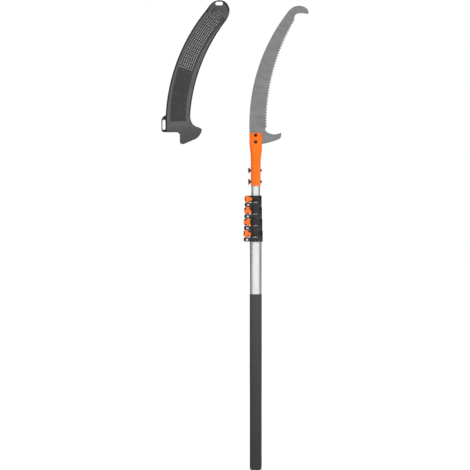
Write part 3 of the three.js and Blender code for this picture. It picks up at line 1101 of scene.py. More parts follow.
@dataclass
class Pole:
    """The five nested tubes with their guide bushes, the grip sleeve and the butt plug."""

    finishes: Finishes
    wall: float = 0.9 * MM
    sides: int = 96
    bush_flange: float = 4 * MM
    bolt_radius: float = 2.8 * MM

    def build(self) -> None:
        """Build every piece of the pole."""
        self.plug()
        self.grip()
        for section in SECTIONS:
            self.tube(section)
            if section > 1:
                self.bush(section)

    def sleeve(self, name: str, node: str, wall: float) -> Piece:
        """Make an open tube the size of a node's box.

        Args:
            name: The piece's name.
            node: The CAD node that sets its size.
            wall: Its wall thickness.

        Returns:
            The tube.
        """
        low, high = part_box(node)
        bpy.ops.mesh.primitive_cylinder_add(
            vertices=self.sides, radius=high.x, depth=high.z - low.z,
            end_fill_type="NOTHING", location=(0, 0, (low.z + high.z) / 2),
        )
        piece = named(name)
        apply_modifier(piece, "SOLIDIFY", thickness=wall, offset=-1, use_even_offset=True)
        return piece

    def tube(self, section: int) -> None:
        """Make one aluminium tube with lightly broken ends.

        Args:
            section: Its number, 1 for the lowest.
        """
        node = f"tube_{section}"
        piece = self.sleeve(f"pole_tube_{section}", node, self.wall)
        if section == SECTIONS[-1]:
            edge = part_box(node)[1].x + MM
            for bolt in (1, 2):
                low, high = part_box(f"cross_bolt_{bolt}")
                middle = (low.z + high.z) / 2
                cut_all(piece, side_rod("bolt_hole", self.bolt_radius, -edge, edge, middle))
        round_edges(piece, 0.2 * MM, 2, 60)
        self.finishes.hand_over(smooth(piece), Slot.TUBE, section_body(section), node)

    def grip(self) -> None:
        """Make the grip sleeve, with a rolled lip at its top and foot."""
        low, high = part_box("grip_sleeve")
        piece = self.sleeve("grip_skin", "grip_sleeve", 0.6 * MM)
        lip = 2.2 * MM
        for z in (high.z - lip, low.z + lip, high.z - 2 * lip, low.z + 2 * lip):
            with editing(piece, everything=True):
                bpy.ops.mesh.bisect(plane_co=(0, 0, z), plane_no=(0, 0, 1))
        with editing(piece):
            inner = high.x - 2 * lip
            pick_points(piece, lambda co: self.between_lips(co, low.z + lip, high.z - lip, inner))
            bpy.ops.transform.resize(value=(0.991, 0.991, 1), center_override=(0, 0, 0))
        round_edges(piece, 0.3 * MM, 3, 50)
        self.finishes.hand_over(smooth(piece, 50), Slot.GRIP, "handle", "grip_sleeve")

    @staticmethod
    def between_lips(co: Vector, low: float, high: float, inner: float) -> bool:
        """Tell whether a point of the sleeve's outer skin lies between its two lips."""
        return low + 0.1 * MM < co.z < high - 0.1 * MM and math.hypot(co.x, co.y) > inner

    def plug(self) -> None:
        """Make the rounded butt plug with its spigot and a moulded ring above its dome."""
        low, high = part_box("butt_plug")
        head = high.x
        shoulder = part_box("tube_1")[0].z - GAP
        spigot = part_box("tube_1")[1].x - self.wall - GAP
        dome = [
            (head - 4.6 * MM * (1 - math.sin(a)) - 0.2 * MM, low.z + 7.4 * MM * (1 - math.cos(a)))
            for a in (0.25, 0.5, 0.75, 1.0, 1.25, 1.5)
        ]
        profile = [(0, low.z), (9 * MM, low.z), (12 * MM, low.z + 0.25 * MM), *dome]
        groove = head - 0.7 * MM
        profile += [(groove, low.z + 8.3 * MM), (groove, low.z + 9.1 * MM), (head, low.z + 9.5 * MM)]
        profile += [(head, shoulder), (spigot, shoulder), (spigot, high.z), (spigot - 2.5 * MM, high.z)]
        profile += [(spigot - 2.5 * MM, low.z + 6 * MM), (0, low.z + 6 * MM)]
        piece = turned("butt_plug_moulding", profile, 96)
        round_edges(piece, 0.3 * MM, 2, 35)
        self.finishes.hand_over(smooth(piece), Slot.DARK_PLASTIC, "handle", "butt_plug")

    def bush(self, section: int) -> None:
        """Make a guide bush: a flange under the tube and a grooved spigot inside it.

        Args:
            section: The tube that it is in.
        """
        node = f"guide_bush_{section}"
        low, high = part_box(node)
        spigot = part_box(f"tube_{section}")[1].x - self.wall - GAP
        bore = spigot - 1.6 * MM
        seat = low.z + self.bush_flange
        profile = [(bore, low.z), (high.x, low.z), (high.x, seat), (spigot, seat)]
        for groove in (4, 8):
            foot = seat + groove * MM
            profile += [(spigot, foot), (spigot - 0.5 * MM, foot + 0.3 * MM)]
            profile += [(spigot - 0.5 * MM, foot + 1.2 * MM), (spigot, foot + 1.5 * MM)]
        profile += [(spigot - 0.4 * MM, high.z), (bore, high.z)]
        piece = turned(f"pole_bush_{section}", profile, 64, closed=True)
        self.finishes.hand_over(smooth(piece), Slot.BUSH, section_body(section), node)


# ---------------------------------------------------------------- clamps


@dataclass
class Clamp:
    """One clamp: split collar, three-lobed knob on a stud, its nut, and the skirt's screw and nut."""

    finishes: Finishes
    number: int
    skirt: float = 12.2 * MM
    relief: float = 2.8 * MM
    relief_end: float = 8.0 * MM
    split: float = 2.5 * MM
    corner: float = 5.5 * MM
    lobe_radius: float = 4.3 * MM
    lobe_reach: float = 7.8 * MM
    flank_radius: float = 9 * MM
    flank_reach: float = 15.9 * MM
    knob_turns: tuple[float, ...] = (-10.0, 180.0, 90.0, 0.0)

    def build(self) -> None:
        """Build every piece of the clamp."""
        stud_low, stud_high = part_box(f"clamp_stud_{self.number}")
        fix_low, fix_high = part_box(f"skirt_screw_{self.number}")
        self.low, self.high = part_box(f"clamp_collar_{self.number}")
        self.ear = ((stud_low.x + stud_high.x) / 2, (stud_low.z + stud_high.z) / 2)
        self.fix = ((fix_low.x + fix_high.x) / 2, (fix_low.z + fix_high.z) / 2)
        self.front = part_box(f"clamp_knob_{self.number}")[1].y + GAP
        self.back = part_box(f"clamp_nut_{self.number}")[0].y - GAP
        self.body = section_body(self.number)
        self.collar()
        self.knob()
        self.hardware()

    def collar(self) -> None:
        """Make the split collar: ring, ears and lug joined, then bored, slotted and drilled."""
        number, radius, foot, top = self.number, self.high.x, self.low.z, self.high.z
        ring = rod(f"split_collar_{number}", radius, foot, top, 96)
        band_foot = foot + self.skirt + self.relief
        lug_top = foot + self.skirt
        left = -3 * radius
        spread = self.relief / 3
        ears = self.ear_plate("ears", band_foot - spread, top)
        add_all(ring, ears, self.ear_plate("lug", foot, lug_top + spread))
        cut_all(ring, *self.grooves(radius, band_foot, top))
        flatten_faces(ring)
        round_edges(ring, 0.7 * MM, 2, 35)
        cut_all(
            ring,
            rod("outer_bore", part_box(f"tube_{number}")[1].x + GAP, foot - MM, lug_top, 96),
            rod("inner_bore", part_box(f"tube_{number + 1}")[1].x + GAP, lug_top - MM, top + MM, 96),
            slab("relief", (-radius, -radius - MM, lug_top), (self.relief_end, radius + MM, band_foot)),
            slab("gap", (left, -radius - MM, lug_top + spread), (0, radius + MM, band_foot - spread)),
            slab("split", (left, -self.split / 2, foot - MM), (0, self.split / 2, top + MM)),
            cross_rod("stud_hole", 2.8 * MM, self.front - MM, self.back + MM, *self.ear),
            cross_rod("screw_hole", 2.3 * MM, self.front - MM, self.back + MM, *self.fix),
        )
        flatten_faces(ring)
        round_edges(ring, 0.2 * MM, 1, 55)
        nodes = f"clamp_collar_{number}"
        self.finishes.hand_over(smooth(ring, 40), Slot.COLLAR, self.body, nodes)

    def ear_plate(self, name: str, foot: float, top: float) -> Piece:
        """Make a block from the pole's axis out to the collar's left end, its outer corners round.

        Args:
            name: The block's name.
            foot: The height of its foot, set in a little so that no two blocks share a face.
            top: The height of its top, set in likewise.

        Returns:
            The block.
        """
        left, corner = self.low.x, self.corner
        foot, top = foot + 0.02 * MM, top - 0.02 * MM
        outline = arc((left + corner, top - corner), corner, 90, 180, 8)
        outline += arc((left + corner, foot + corner), corner, 180, 270, 8)
        return pressed(name, [[(0, foot), (0, top), *outline]], self.front, self.back)

    def grooves(self, radius: float, band_foot: float, top: float) -> list[Piece]:
        """Make the cutters for shallow flutes down the collar's back.

        Args:
            radius: The collar's radius round the pole.
            band_foot: The height of the clamping band's foot.
            top: The height of the collar's top.

        Returns:
            The cutters.
        """
        cutters = []
        for degrees in (12, 35, 58, 81, 104):
            angle = math.radians(degrees)
            reach = radius + 1.1 * MM
            cutter = rod("flute", 1.9 * MM, band_foot + 3 * MM, top - 3 * MM, 24)
            cutters.append(moved(cutter, (reach * math.cos(angle), reach * math.sin(angle), 0)))
        return cutters

    def knob(self) -> None:
        """Make the knob: three lobes hulled together, hollowed flanks, a dished face and a hub."""
        low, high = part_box(f"clamp_knob_{self.number}")
        depth = high.y - low.y
        hub = 2.4 * MM
        lobes = []
        for i in range(3):
            angle = i * 2 * math.pi / 3
            place = (self.lobe_reach * math.cos(angle), self.lobe_reach * math.sin(angle), 0)
            lobes.append(moved(rod("lobe", self.lobe_radius, hub, depth, 40), place))
        body = gather(lobes, f"orange_knob_{self.number}")
        with editing(body, everything=True):
            bpy.ops.mesh.convex_hull()
        flatten_faces(body)
        for i in range(3):
            angle = (i + 0.5) * 2 * math.pi / 3
            place = (self.flank_reach * math.cos(angle), self.flank_reach * math.sin(angle), 0)
            cut_all(body, moved(rod("flank", self.flank_radius, 0, depth + MM, 96), place))
        flatten_faces(body)
        round_edges(body, 1.3 * MM, 4, 40)
        dish = self.under_face(depth, [(0, 1.1), (4.2, 0.9), (6.2, -0.2), (0, -0.2)])
        cut_all(body, turned("dish", dish))
        boss = self.under_face(depth, [(0, 1.6), (2.6, 1.6), (2.5, 0.5), (2.1, 0.2), (0, 0.2)])
        foot = [(0, 0), (5.8 * MM, 0), (6 * MM, 0.4 * MM), (6 * MM, hub + MM), (0, hub + MM)]
        add_all(body, turned("boss", boss, 32), turned("hub", foot))
        cut_all(body, rod("stud_bore", 2.8 * MM, -MM, 8 * MM, 32))
        turn = math.radians(self.knob_turns[self.number - 1])
        moved(body, (0, 0, 0), (0, 0, turn))
        moved(body, (self.ear[0], high.y, self.ear[1]), Along.FRONT.value)
        nodes = f"clamp_knob_{self.number}"
        self.finishes.hand_over(smooth(body, 35), Slot.KNOB, f"knob_{self.number}", nodes)

    @staticmethod
    def under_face(depth: float, points: Sequence[Flat]) -> list[Flat]:
        """Place a profile below the knob's face, from radii and depths in millimetres."""
        return [(radius * MM, depth - below * MM) for radius, below in points]

    def hardware(self) -> None:
        """Make the stud with its nut, and the skirt's screw with its nut."""
        number = self.number
        low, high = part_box(f"clamp_stud_{number}")
        radius, length = (high.x - low.x) / 2, high.y - low.y
        profile = [(0, 0), (radius - 0.5 * MM, 0), *threaded(radius, 0.4 * MM, length - 0.8 * MM)]
        stud = turned(f"knob_stud_{number}", [*profile, (0, length)], 32)
        moved(stud, (self.ear[0], low.y, self.ear[1]), Along.BACK.value)
        self.finishes.hand_over(smooth(stud), Slot.ZINC, f"knob_{number}", f"clamp_stud_{number}")

        low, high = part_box(f"clamp_nut_{number}")
        nut = hex_nut(f"ear_nut_{number}", (high.z - low.z) / 2, high.y - low.y, 2.8 * MM)
        moved(nut, (self.ear[0], low.y, self.ear[1]), Along.BACK.value)
        self.finishes.hand_over(nut, Slot.ZINC, self.body, f"clamp_nut_{number}")

        low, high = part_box(f"skirt_screw_{number}")
        head_height = 2.4 * MM
        seat = low.y + head_height
        screw = round_head_screw(
            f"lug_screw_{number}", (high.x - low.x) / 2, head_height, 2 * MM, high.y - seat, 1.4 * MM
        )
        moved(screw, (self.fix[0], seat, self.fix[1]), Along.FRONT.value)
        self.finishes.hand_over(screw, Slot.ZINC, self.body, f"skirt_screw_{number}")

        low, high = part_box(f"skirt_nut_{number}")
        nut = hex_nut(f"lug_nut_{number}", (high.z - low.z) / 2, high.y - low.y, 2.3 * MM)
        moved(nut, (self.fix[0], low.y, self.fix[1]), Along.BACK.value)
        self.finishes.hand_over(nut, Slot.ZINC, self.body, f"skirt_nut_{number}")


# ---------------------------------------------------------------- socket


@dataclass
class Socket:
    """The orange blade socket with its cross bolts, wing nuts and blade screws."""

    finishes: Finishes
    sides: int = 72
    cheek: float = 7.0 * MM
    slot_half: float = 1.1 * MM
    bolt_radius: float = 2.8 * MM

    # Height up the socket, centre in X, and half widths in X and Y, in millimetres.
    SHAPE = (
        (0, 0, 14.1, 14.1), (1.2, 0, 14.5, 14.5), (76, 0, 14.8, 14.8), (88, 0.4, 15.5, 14.6),
        (98, 0.9, 16.5, 13.6), (106, 1.1, 17.5, 12.2), (113, 0.9, 18.2, 11.0), (120, 0.4, 18.6, 10.0),
        (128, 0, 18.9, 9.4), (138, 0, 19, 9.2), (155, 0, 19, 9.2), (158.5, 0, 18.5, 9.0),
        (160.4, 0, 17.2, 8.4), (161, 0, 15.6, 7.6),
    )

    def build(self) -> None:
        """Build the socket and its fasteners."""
        self.low, self.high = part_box("blade_socket")
        self.shell()
        for number in (1, 2):
            self.cross_bolt(number)
            self.wing_nut(number)
            self.blade_screw(number)

    def shell(self) -> None:
        """Make the socket: a ring drawn up through its sections, with flattened cheeks."""
        first = self.SHAPE[0]
        bpy.ops.mesh.primitive_circle_add(
            vertices=self.sides, radius=first[2] * MM, location=(0, 0, self.low.z), fill_type="NGON"
        )
        piece = named("orange_socket")
        with editing(piece, everything=True):
            for (z0, x0, a0, b0), (z1, x1, a1, b1) in zip(self.SHAPE, self.SHAPE[1:]):
                shift = ((x1 - x0) * MM, 0, (z1 - z0) * MM)
                centre = (x1 * MM, 0, self.low.z + z1 * MM)
                bpy.ops.mesh.extrude_region_move(TRANSFORM_OT_translate={"value": shift})
                bpy.ops.transform.resize(value=(a1 / a0, b1 / b0, 1), center_override=centre)
            bpy.ops.mesh.select_all(action="SELECT")
            bpy.ops.mesh.normals_make_consistent(inside=False)
        self.flatten_cheeks(piece)
        middle = (self.low.z + self.high.z) / 2
        wide = 3 * self.high.x
        bolts = [self.height_of(f"cross_bolt_{i}") for i in (1, 2)]
        screws = [self.height_of(f"blade_screw_{i}") for i in (1, 2)]
        tube_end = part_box("tube_5")[1]
        half, slot_foot = self.slot_half, middle + 15.5 * MM
        cut_all(
            piece,
            rod("tube_bore", tube_end.x + GAP, self.low.z - MM, tube_end.z + MM, 96),
            slab("blade_slot", (-wide, -half, slot_foot), (wide, half, self.high.z + MM)),
            *(side_rod("bolt_hole", self.bolt_radius, -wide, wide, z) for z in bolts),
            *(cross_rod("screw_hole", self.bolt_radius, -wide, wide, 0, z) for z in screws),
        )
        flatten_faces(piece, 0.2)
        round_edges(piece, 0.35 * MM, 2, 50)
        self.finishes.hand_over(smooth(piece, 40), Slot.ORANGE_PAINT, "head", "blade_socket")

    def flatten_cheeks(self, piece: Piece) -> None:
        """Slice the front and back of the upper socket flat, where the screws sit.

        Args:
            piece: The drawn socket.
        """
        for side in (-1, 1):
            with editing(piece, everything=True):
                bpy.ops.mesh.bisect(
                    plane_co=(0, side * self.cheek, self.low.z + 124 * MM),
                    plane_no=(0, side, 0.0), use_fill=False, clear_outer=False,
                )
            face = side * self.cheek
            above, beyond = self.low.z + 121 * MM, self.cheek + 0.01 * MM
            with editing(piece):
                pick_points(piece, lambda co: co.z > above and co.y * side > beyond)
                bpy.ops.transform.resize(
                    value=(1, 0, 1), center_override=(0, face, 0), constraint_axis=(False, True, False)
                )

    @staticmethod
    def height_of(node: str) -> float:
        """Return the height of a node's middle."""
        low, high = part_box(node)
        return (low.z + high.z) / 2

    def cross_bolt(self, number: int) -> None:
        """Make one bolt across the pole, its round head towards +X.

        Args:
            number: The bolt's number.
        """
        node = f"cross_bolt_{number}"
        low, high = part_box(node)
        head_height = 3.4 * MM
        seat = high.x - head_height
        bolt = round_head_screw(
            f"socket_bolt_{number}", (high.z - low.z) / 2, head_height, 2.5 * MM, seat - low.x, 2 * MM
        )
        moved(bolt, (seat, 0, self.height_of(node)), Along.RIGHT.value)
        self.finishes.hand_over(bolt, Slot.BLACK_STEEL, "head", node)

    def wing_nut(self, number: int) -> None:
        """Make one wing nut: a tapered hub with two cast wings.

        Args:
            number: The wing nut's number.
        """
        node = f"wing_nut_{number}"
        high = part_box(node)[1]
        profile = mm_points([(0, 0), (4.6, 0), (4.5, 1), (3.9, 5), (3.3, 5.4), (0, 5.4)])
        hub = turned(f"socket_wing_{number}", profile, 40)
        moved(hub, (0, 0, 0), Along.LEFT.value)
        outline = [(-0.8, 1.5), (-1.2, 3.2), *bow((-1.2, 3.2), (-2.6, 7.6), (-4.6, 8.3), 5)]
        outline += arc((-6.2, 7.0), 1.9, 55, 200, 8)[:-1]
        outline += bow(outline[-1], (-6.4, 4.0), (-4.6, 1.5), 5)
        outline = [(x * MM, z * MM) for x, z in outline]
        upper = pressed("wing", [outline], -0.95 * MM, 0.95 * MM, 0.45 * MM)
        lower = moved(copy_of(upper, "wing_lower"), (0, 0, 0), (math.pi, 0, 0))
        add_all(hub, upper, lower)
        cut_all(hub, side_rod("thread_bore", 2.7 * MM, -9 * MM, MM, 0))
        round_edges(hub, 0.25 * MM, 2, 50)
        turn = math.radians((12, 32)[number - 1])
        moved(hub, (high.x, 0, self.height_of(node)), (turn, 0, 0))
        self.finishes.hand_over(smooth(hub, 45), Slot.BLACK_STEEL, f"wing_{number}", node)

    def blade_screw(self, number: int) -> None:
        """Make one blade screw, its head in front, and its nut behind the back cheek.

        Args:
            number: The screw's number, which its nut shares.
        """
        node = f"blade_screw_{number}"
        low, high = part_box(node)
        head_height = 3 * MM
        seat = low.y + head_height
        screw = round_head_screw(
            f"cheek_screw_{number}", (high.x - low.x) / 2, head_height, 2.5 * MM, high.y - seat, 2 * MM
        )
        moved(screw, (0, seat, self.height_of(node)), Along.FRONT.value)
        self.finishes.hand_over(screw, Slot.BLACK_STEEL, "head", node)
        nut_node = f"blade_nut_{number}"
        low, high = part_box(nut_node)
        nut = hex_nut(f"cheek_nut_{number}", (high.z - low.z) / 2, high.y - low.y, 2.8 * MM)
        moved(nut, (0, low.y, self.height_of(nut_node)), Along.BACK.value)
        self.finishes.hand_over(nut, Slot.ZINC, "head", nut_node)


# ---------------------------------------------------------------- blade


@dataclass(frozen=True)
class BladePlan:
    """Circles and tooth sizes that the blade and its steel's grain are drawn from."""

    spine: Flat = (0.5322, 1.0354)
    spine_radius: float = 0.5515
    teeth: Flat = (0.6359, 1.0415)
    tooth_radius: float = 0.6042
    tooth_count: int = 41
    tooth_depth: float = 5 * MM
    tooth_lean: float = 0.34
    heel_angle: float = 181.4
    tip_angle: float = 149.3
    half: float = 0.8 * MM

    @property
    def pitch(self) -> float:
        """Angle of one tooth, in degrees."""
        return (self.heel_angle - self.tip_angle) / self.tooth_count

    @property
    def gullet_radius(self) -> float:
        """Radius of the circle through the gullets."""
        return self.tooth_radius + self.tooth_depth / 2


@dataclass
class Blade:
    """The saw blade: a plate with its hooks, and teeth ground to alternate sides."""

    finishes: Finishes
    plan: BladePlan
    tooth_set: float = 0.45 * MM

    def build(self) -> None:
        """Build the blade."""
        plate = pressed("blade_plate", [self.outline()], -self.plan.half, self.plan.half)
        self.open_tooth_line(plate)
        blade = gather([*self.teeth(), plate], "pruning_blade")
        with editing(blade, everything=True):
            bpy.ops.mesh.remove_doubles(threshold=0.02 * MM)
            bpy.ops.mesh.normals_make_consistent(inside=False)
        holes = []
        for number in (1, 2):
            z = Socket.height_of(f"blade_screw_{number}")
            holes.append(cross_rod("screw_hole", 2.8 * MM, -5 * MM, 5 * MM, 0, z))
        cut_all(blade, *holes)
        self.finishes.hand_over(smooth(blade, 15), Slot.BLADE, "head", "saw_blade")

    def outline(self) -> list[Flat]:
        """Draw the plate: back, hooked tip, line of gullets, heel hook and tang.

        Returns:
            The outline's points.
        """
        plan = self.plan
        tip = [(91, 1366), (101, 1379.1), (114, 1388.6), (130.5, 1392), (145, 1389), (155, 1382)]
        hook = [(158.7, 1374), (158, 1367.7), (151.5, 1367.7)]
        throat = bow((151.5, 1367.7), (137, 1371.5), (124, 1368))
        throat += bow((124, 1368), (115.8, 1364), (115.8, 1354))
        heel = bow((30.6, 1026), (26, 1019.5), (33.9, 1013))
        heel += bow((33.9, 1013), (48, 1004), (63.6, 1006.8))
        heel += [(76.2, 1011.3), *bow((76.2, 1011.3), (79, 997), (70, 992))]
        heel += bow((70, 992), (48, 982), (18.9, 977)) + [(14.5, 951)]
        points = [(-14.5, 951), (-17.8, 988)]
        crown = rounded_run(tip, 4)[5:] + hook + throat
        back = arc(plan.spine, plan.spine_radius, 184, 141.5, 56)
        gullets = arc(plan.teeth, plan.gullet_radius, plan.tip_angle, plan.heel_angle, plan.tooth_count)
        metres = [(x * MM, z * MM) for x, z in points]
        metres += back + [(x * MM, z * MM) for x, z in crown] + gullets
        return metres + [(x * MM, z * MM) for x, z in heel]

    def open_tooth_line(self, plate: Piece) -> None:
        """Delete the plate's edge faces along the gullets, where the teeth are joined on.

        Args:
            plate: The blade's plate.
        """
        centre = Vector((self.plan.teeth[0], 0, self.plan.teeth[1]))
        sag = self.plan.gullet_radius * (1 - math.cos(math.radians(self.plan.pitch / 2)))
        radius = self.plan.gullet_radius - sag

        def on_line(middle: Vector, normal: Vector) -> bool:
            """Accept the edge faces whose middle is on the line of gullets."""
            flat = Vector((middle.x, 0, middle.z))
            return abs((flat - centre).length - radius) < 0.05 * MM and abs(normal.y) < 0.2

        with editing(plate):
            pick_faces(plate, on_line)
            bpy.ops.mesh.delete(type="ONLY_FACE")

    def teeth(self) -> list[Piece]:
        """Model one tooth, open at its base, and copy it along the tooth line.

        Returns:
            Every tooth, its point leaning to the handle and set to alternate sides.
        """
        plan = self.plan
        centre = (plan.teeth[0], 0, plan.teeth[1])
        gullets = arc(plan.teeth, plan.gullet_radius, plan.tip_angle, plan.heel_angle, plan.tooth_count)
        tip_share = 1 - plan.tooth_lean
        inner = plan.gullet_radius - plan.tooth_depth
        made = []
        for side in (-1, 1):
            (x0, z0), (x1, z1) = gullets[0], gullets[1]
            bpy.ops.mesh.primitive_plane_add(size=1, location=(0, 0, 0))
            tooth = named("tooth")
            near, far = -plan.half, plan.half
            corners = [(x0, near, z0), (x1, near, z1), (x0, far, z0), (x1, far, z1)]
            for vertex, corner in zip(tooth.data.vertices, corners):
                vertex.co = corner
            angle = math.radians(plan.tip_angle + plan.pitch * tip_share)
            point = Vector((
                plan.teeth[0] + inner * math.cos(angle),
                side * (plan.half * 0.4 + self.tooth_set),
                plan.teeth[1] + inner * math.sin(angle),
            ))
            with editing(tooth, everything=True):
                bpy.ops.mesh.poke()
                pick_points(tooth, lambda co: abs(co.y) < 0.01 * MM)
                middle = Vector(((x0 + x1) / 2, 0, (z0 + z1) / 2))
                bpy.ops.transform.translate(value=point - middle)
            made.append(tooth)
        teeth = []
        for i in range(plan.tooth_count):
            tooth = copy_of(made[i % 2], f"tooth_{i}")
            if i:
                with editing(tooth, everything=True):
                    bpy.ops.transform.rotate(
                        value=math.radians(plan.pitch * i), orient_axis="Y", center_override=centre
                    )
            teeth.append(tooth)
        for pattern in made:
            bpy.data.objects.remove(pattern)
        return teeth


def mm_points(points: Sequence[Flat]) -> list[Flat]:
    """Turn points in millimetres into metres."""
    return [(x * MM, z * MM) for x, z in points]


def rounded_run(points: Sequence[Flat], count: int) -> list[Flat]:
    """Pass a smooth curve through a run of points (Catmull-Rom).

    Args:
        points: The points (x, z) to pass through.
        count: Steps between each two of them.

    Returns:
        The finer run, both ends included.
    """
    padded = [points[0], *points, points[-1]]
    run = [points[0]]
    for a, b, c, d in zip(padded, padded[1:], padded[2:], padded[3:]):
        for i in range(1, count + 1):
            t = i / count
            run.append(tuple(
                0.5 * (2 * b[k] + (c[k] - a[k]) * t + (2 * a[k] - 5 * b[k] + 4 * c[k] - d[k]) * t ** 2
                       + (3 * b[k] - a[k] - 3 * c[k] + d[k]) * t ** 3)
                for k in range(2)
            ))
    return run


# ---------------------------------------------------------------- sheath


@dataclass
class Sheath:
    """The sheath: two mirrored shells with a perforated, ribbed panel between raised borders."""

    finishes: Finishes
    hub: Flat = (0.221, 1.0545)          # point that the perforations' rows point at
    back: Flat = (0.2738, 1.0351)
    back_radius: float = 0.5446
    edge: Flat = (0.3285, 1.0274)
    edge_radius: float = 0.5265
    depth: float = 5.0 * MM
    seam: float = 0.15 * MM
    wall: float = 2.0 * MM
    rim: float = 3.5 * MM
    recess: float = 0.9 * MM
    panel: Flat = (0.4775, 0.4305)       # its outer and inner radius about the hub
    panel_foot: float = 181.2            # its last angle about the hub
    perforated: Flat = (135.7, 161.6)
    first_row: float = 135.33
    ribbed: Flat = (162.4, 180.6)
    columns: int = 7
    first_column: float = 0.4749
    row_pitch: float = 1.57              # degrees between pairs of perforations
    slot_half: float = 0.68 * MM
    rib_half: float = 2.25 * MM
    rib_height: float = 0.85 * MM

    def build(self) -> None:
        """Build both shells."""
        front = self.shell("sheath_cover_front")
        back = copy_of(front, "sheath_cover_back")
        with editing(back, everything=True):
            bpy.ops.transform.mirror(constraint_axis=(False, True, False), center_override=(0, 0, 0))
            bpy.ops.mesh.normals_make_consistent(inside=False)
        add_all(back, self.belt_loop())
        self.finishes.hand_over(smooth(front, 40), Slot.SHEATH, "sheath", "sheath_front")
        self.finishes.hand_over(smooth(back, 40), Slot.SHEATH, "sheath", "sheath_back")

    def column(self, number: int, degrees: float) -> float:
        """Find the radius of one column of perforations; the columns fan out towards the foot."""
        return self.first_column - number * (5.7 + 1.1 * (degrees - 138) / 43) * MM

    def at(self, degrees: float, radius: float) -> Flat:
        """Place a point by its angle and radius about the hub."""
        angle = math.radians(degrees)
        return self.hub[0] + radius * math.cos(angle), self.hub[1] + radius * math.sin(angle)

    def wedge(self, start: float, end: float, inner: float, outer: float) -> list[Flat]:
        """Draw a small four-cornered patch between two angles and two radii about the hub."""
        return [self.at(start, outer), self.at(end, outer), self.at(end, inner), self.at(start, inner)]

    def panel_band(self, start: float, end: float, grow: float = 0.0) -> list[Flat]:
        """Draw a length of the panel, its tip end round.

        Args:
            start: The angle about the hub where its tip end begins.
            end: The angle of its square foot end.
            grow: How far its sides stand out, in metres.

        Returns:
            The closed outline.
        """
        outer, inner = self.panel[0] + grow, self.panel[1] - grow
        middle, half = (outer + inner) / 2, (outer - inner) / 2
        round_depth = 1.9
        crown = []
        for i in range(1, 16):
            turn = math.pi * i / 16
            angle = start + round_depth * (1 - math.sin(turn))
            crown.append(self.at(angle, middle - half * math.cos(turn)))
        count = 32
        turns = [start + round_depth + (end - start - round_depth) * i / count for i in range(count + 1)]
        back = [self.at(angle, outer) for angle in turns]
        return back + [self.at(angle, inner) for angle in reversed(turns)] + crown

    def ribbon(self, column: float, half: float, start: float, end: float) -> list[Flat]:
        """Draw a narrow band along one column.

        Args:
            column: The column's number, from the back; fractions lie between columns.
            half: Half its width, in metres.
            start: Its first angle about the hub.
            end: Its last angle.

        Returns:
            The closed outline.
        """
        count = 24
        turns = [start + (end - start) * i / count for i in range(count + 1)]
        outer = [self.at(angle, self.column(column, angle) + half) for angle in turns]
        return outer + [self.at(angle, self.column(column, angle) - half) for angle in reversed(turns)]

    def outline(self) -> list[Flat]:
        """Draw the outer outline: curved back, wide tip, inner edge and heel-hook cover."""
        return self.outer_run() + mm_points(self.heel_cover())

    def outer_run(self) -> list[Flat]:
        """Draw the outline's long part, from the foot of the back round the tip to the hook.

        Returns:
            The run's points.
        """
        tip = [(-146.5, 1381.5), *bow((-146.5, 1381.5), (-130, 1408.5), (-108.9, 1408.5), 10)]
        tip += [*bow((-108.9, 1408.5), (-84, 1408), (-78.3, 1380), 10), (-79.5, 1367)]
        points = arc(self.back, self.back_radius, 182.4, 142.9, 44)
        return points + mm_points(tip) + arc(self.edge, self.edge_radius, 142.2, 175.9, 36)

    @staticmethod
    def heel_cover() -> list[Flat]:
        """Draw the cover of the blade's heel hook, in millimetres.

        Returns:
            The cover's points.
        """
        run = bow((-196.6, 1065.2), (-196, 1036), (-178.5, 1029.6), 8)
        run += bow((-178.5, 1029.6), (-161, 1025), (-161.7, 1019), 5)
        run += bow((-161.7, 1019), (-165.5, 1001), (-180, 992.5), 6) + [(-215.7, 977)]
        run += bow((-215.7, 977), (-227.7, 976), (-227.7, 984.6), 6)
        return run + [(-227.7, 1006), (-234.9, 1012.5)]

    def slots(self) -> list[list[Flat]]:
        """Draw the perforations: pairs of short slots in rows that cross every column.

        Returns:
            One small outline for each slot.
        """
        outlines = []
        length = self.row_pitch * 0.32
        first, last = self.perforated
        for column in range(self.columns):
            crown = 2.0 * abs(column / 3 - 1) ** 2.5
            for pair in range(17):
                start = self.first_row + self.row_pitch * pair
                for low in (start, start + self.row_pitch * 0.46):
                    if first + crown <= low and low + length < last:
                        outlines.append(self.small_slot(column, low, low + length))
        return outlines

    def small_slot(self, column: int, start: float, end: float) -> list[Flat]:
        """Draw one slot with rounded ends, along its column.

        Args:
            column: The column's number, from the back.
            start: The angle where it starts, in degrees.
            end: The angle where it ends.

        Returns:
            The slot's outline.
        """
        ease, half = (end - start) * 0.18, self.slot_half
        side = [(start + ease, half), (end - ease, half), (end, half * 0.4), (end, -half * 0.4)]
        side += [(end - ease, -half), (start + ease, -half), (start, -half * 0.4), (start, half * 0.4)]
        return [self.at(angle, self.column(column, angle) + offset) for angle, offset in side]

    @staticmethod
    def tip_slot(grow: float = 0.0) -> list[Flat]:
        """Draw the hanging slot in the tip, grown by a margin."""
        radius = 5.8 * MM + grow
        return arc((-0.1155, 1.3986), radius, 90, 270, 12) + arc((-0.104, 1.3986), radius, -90, 90, 12)

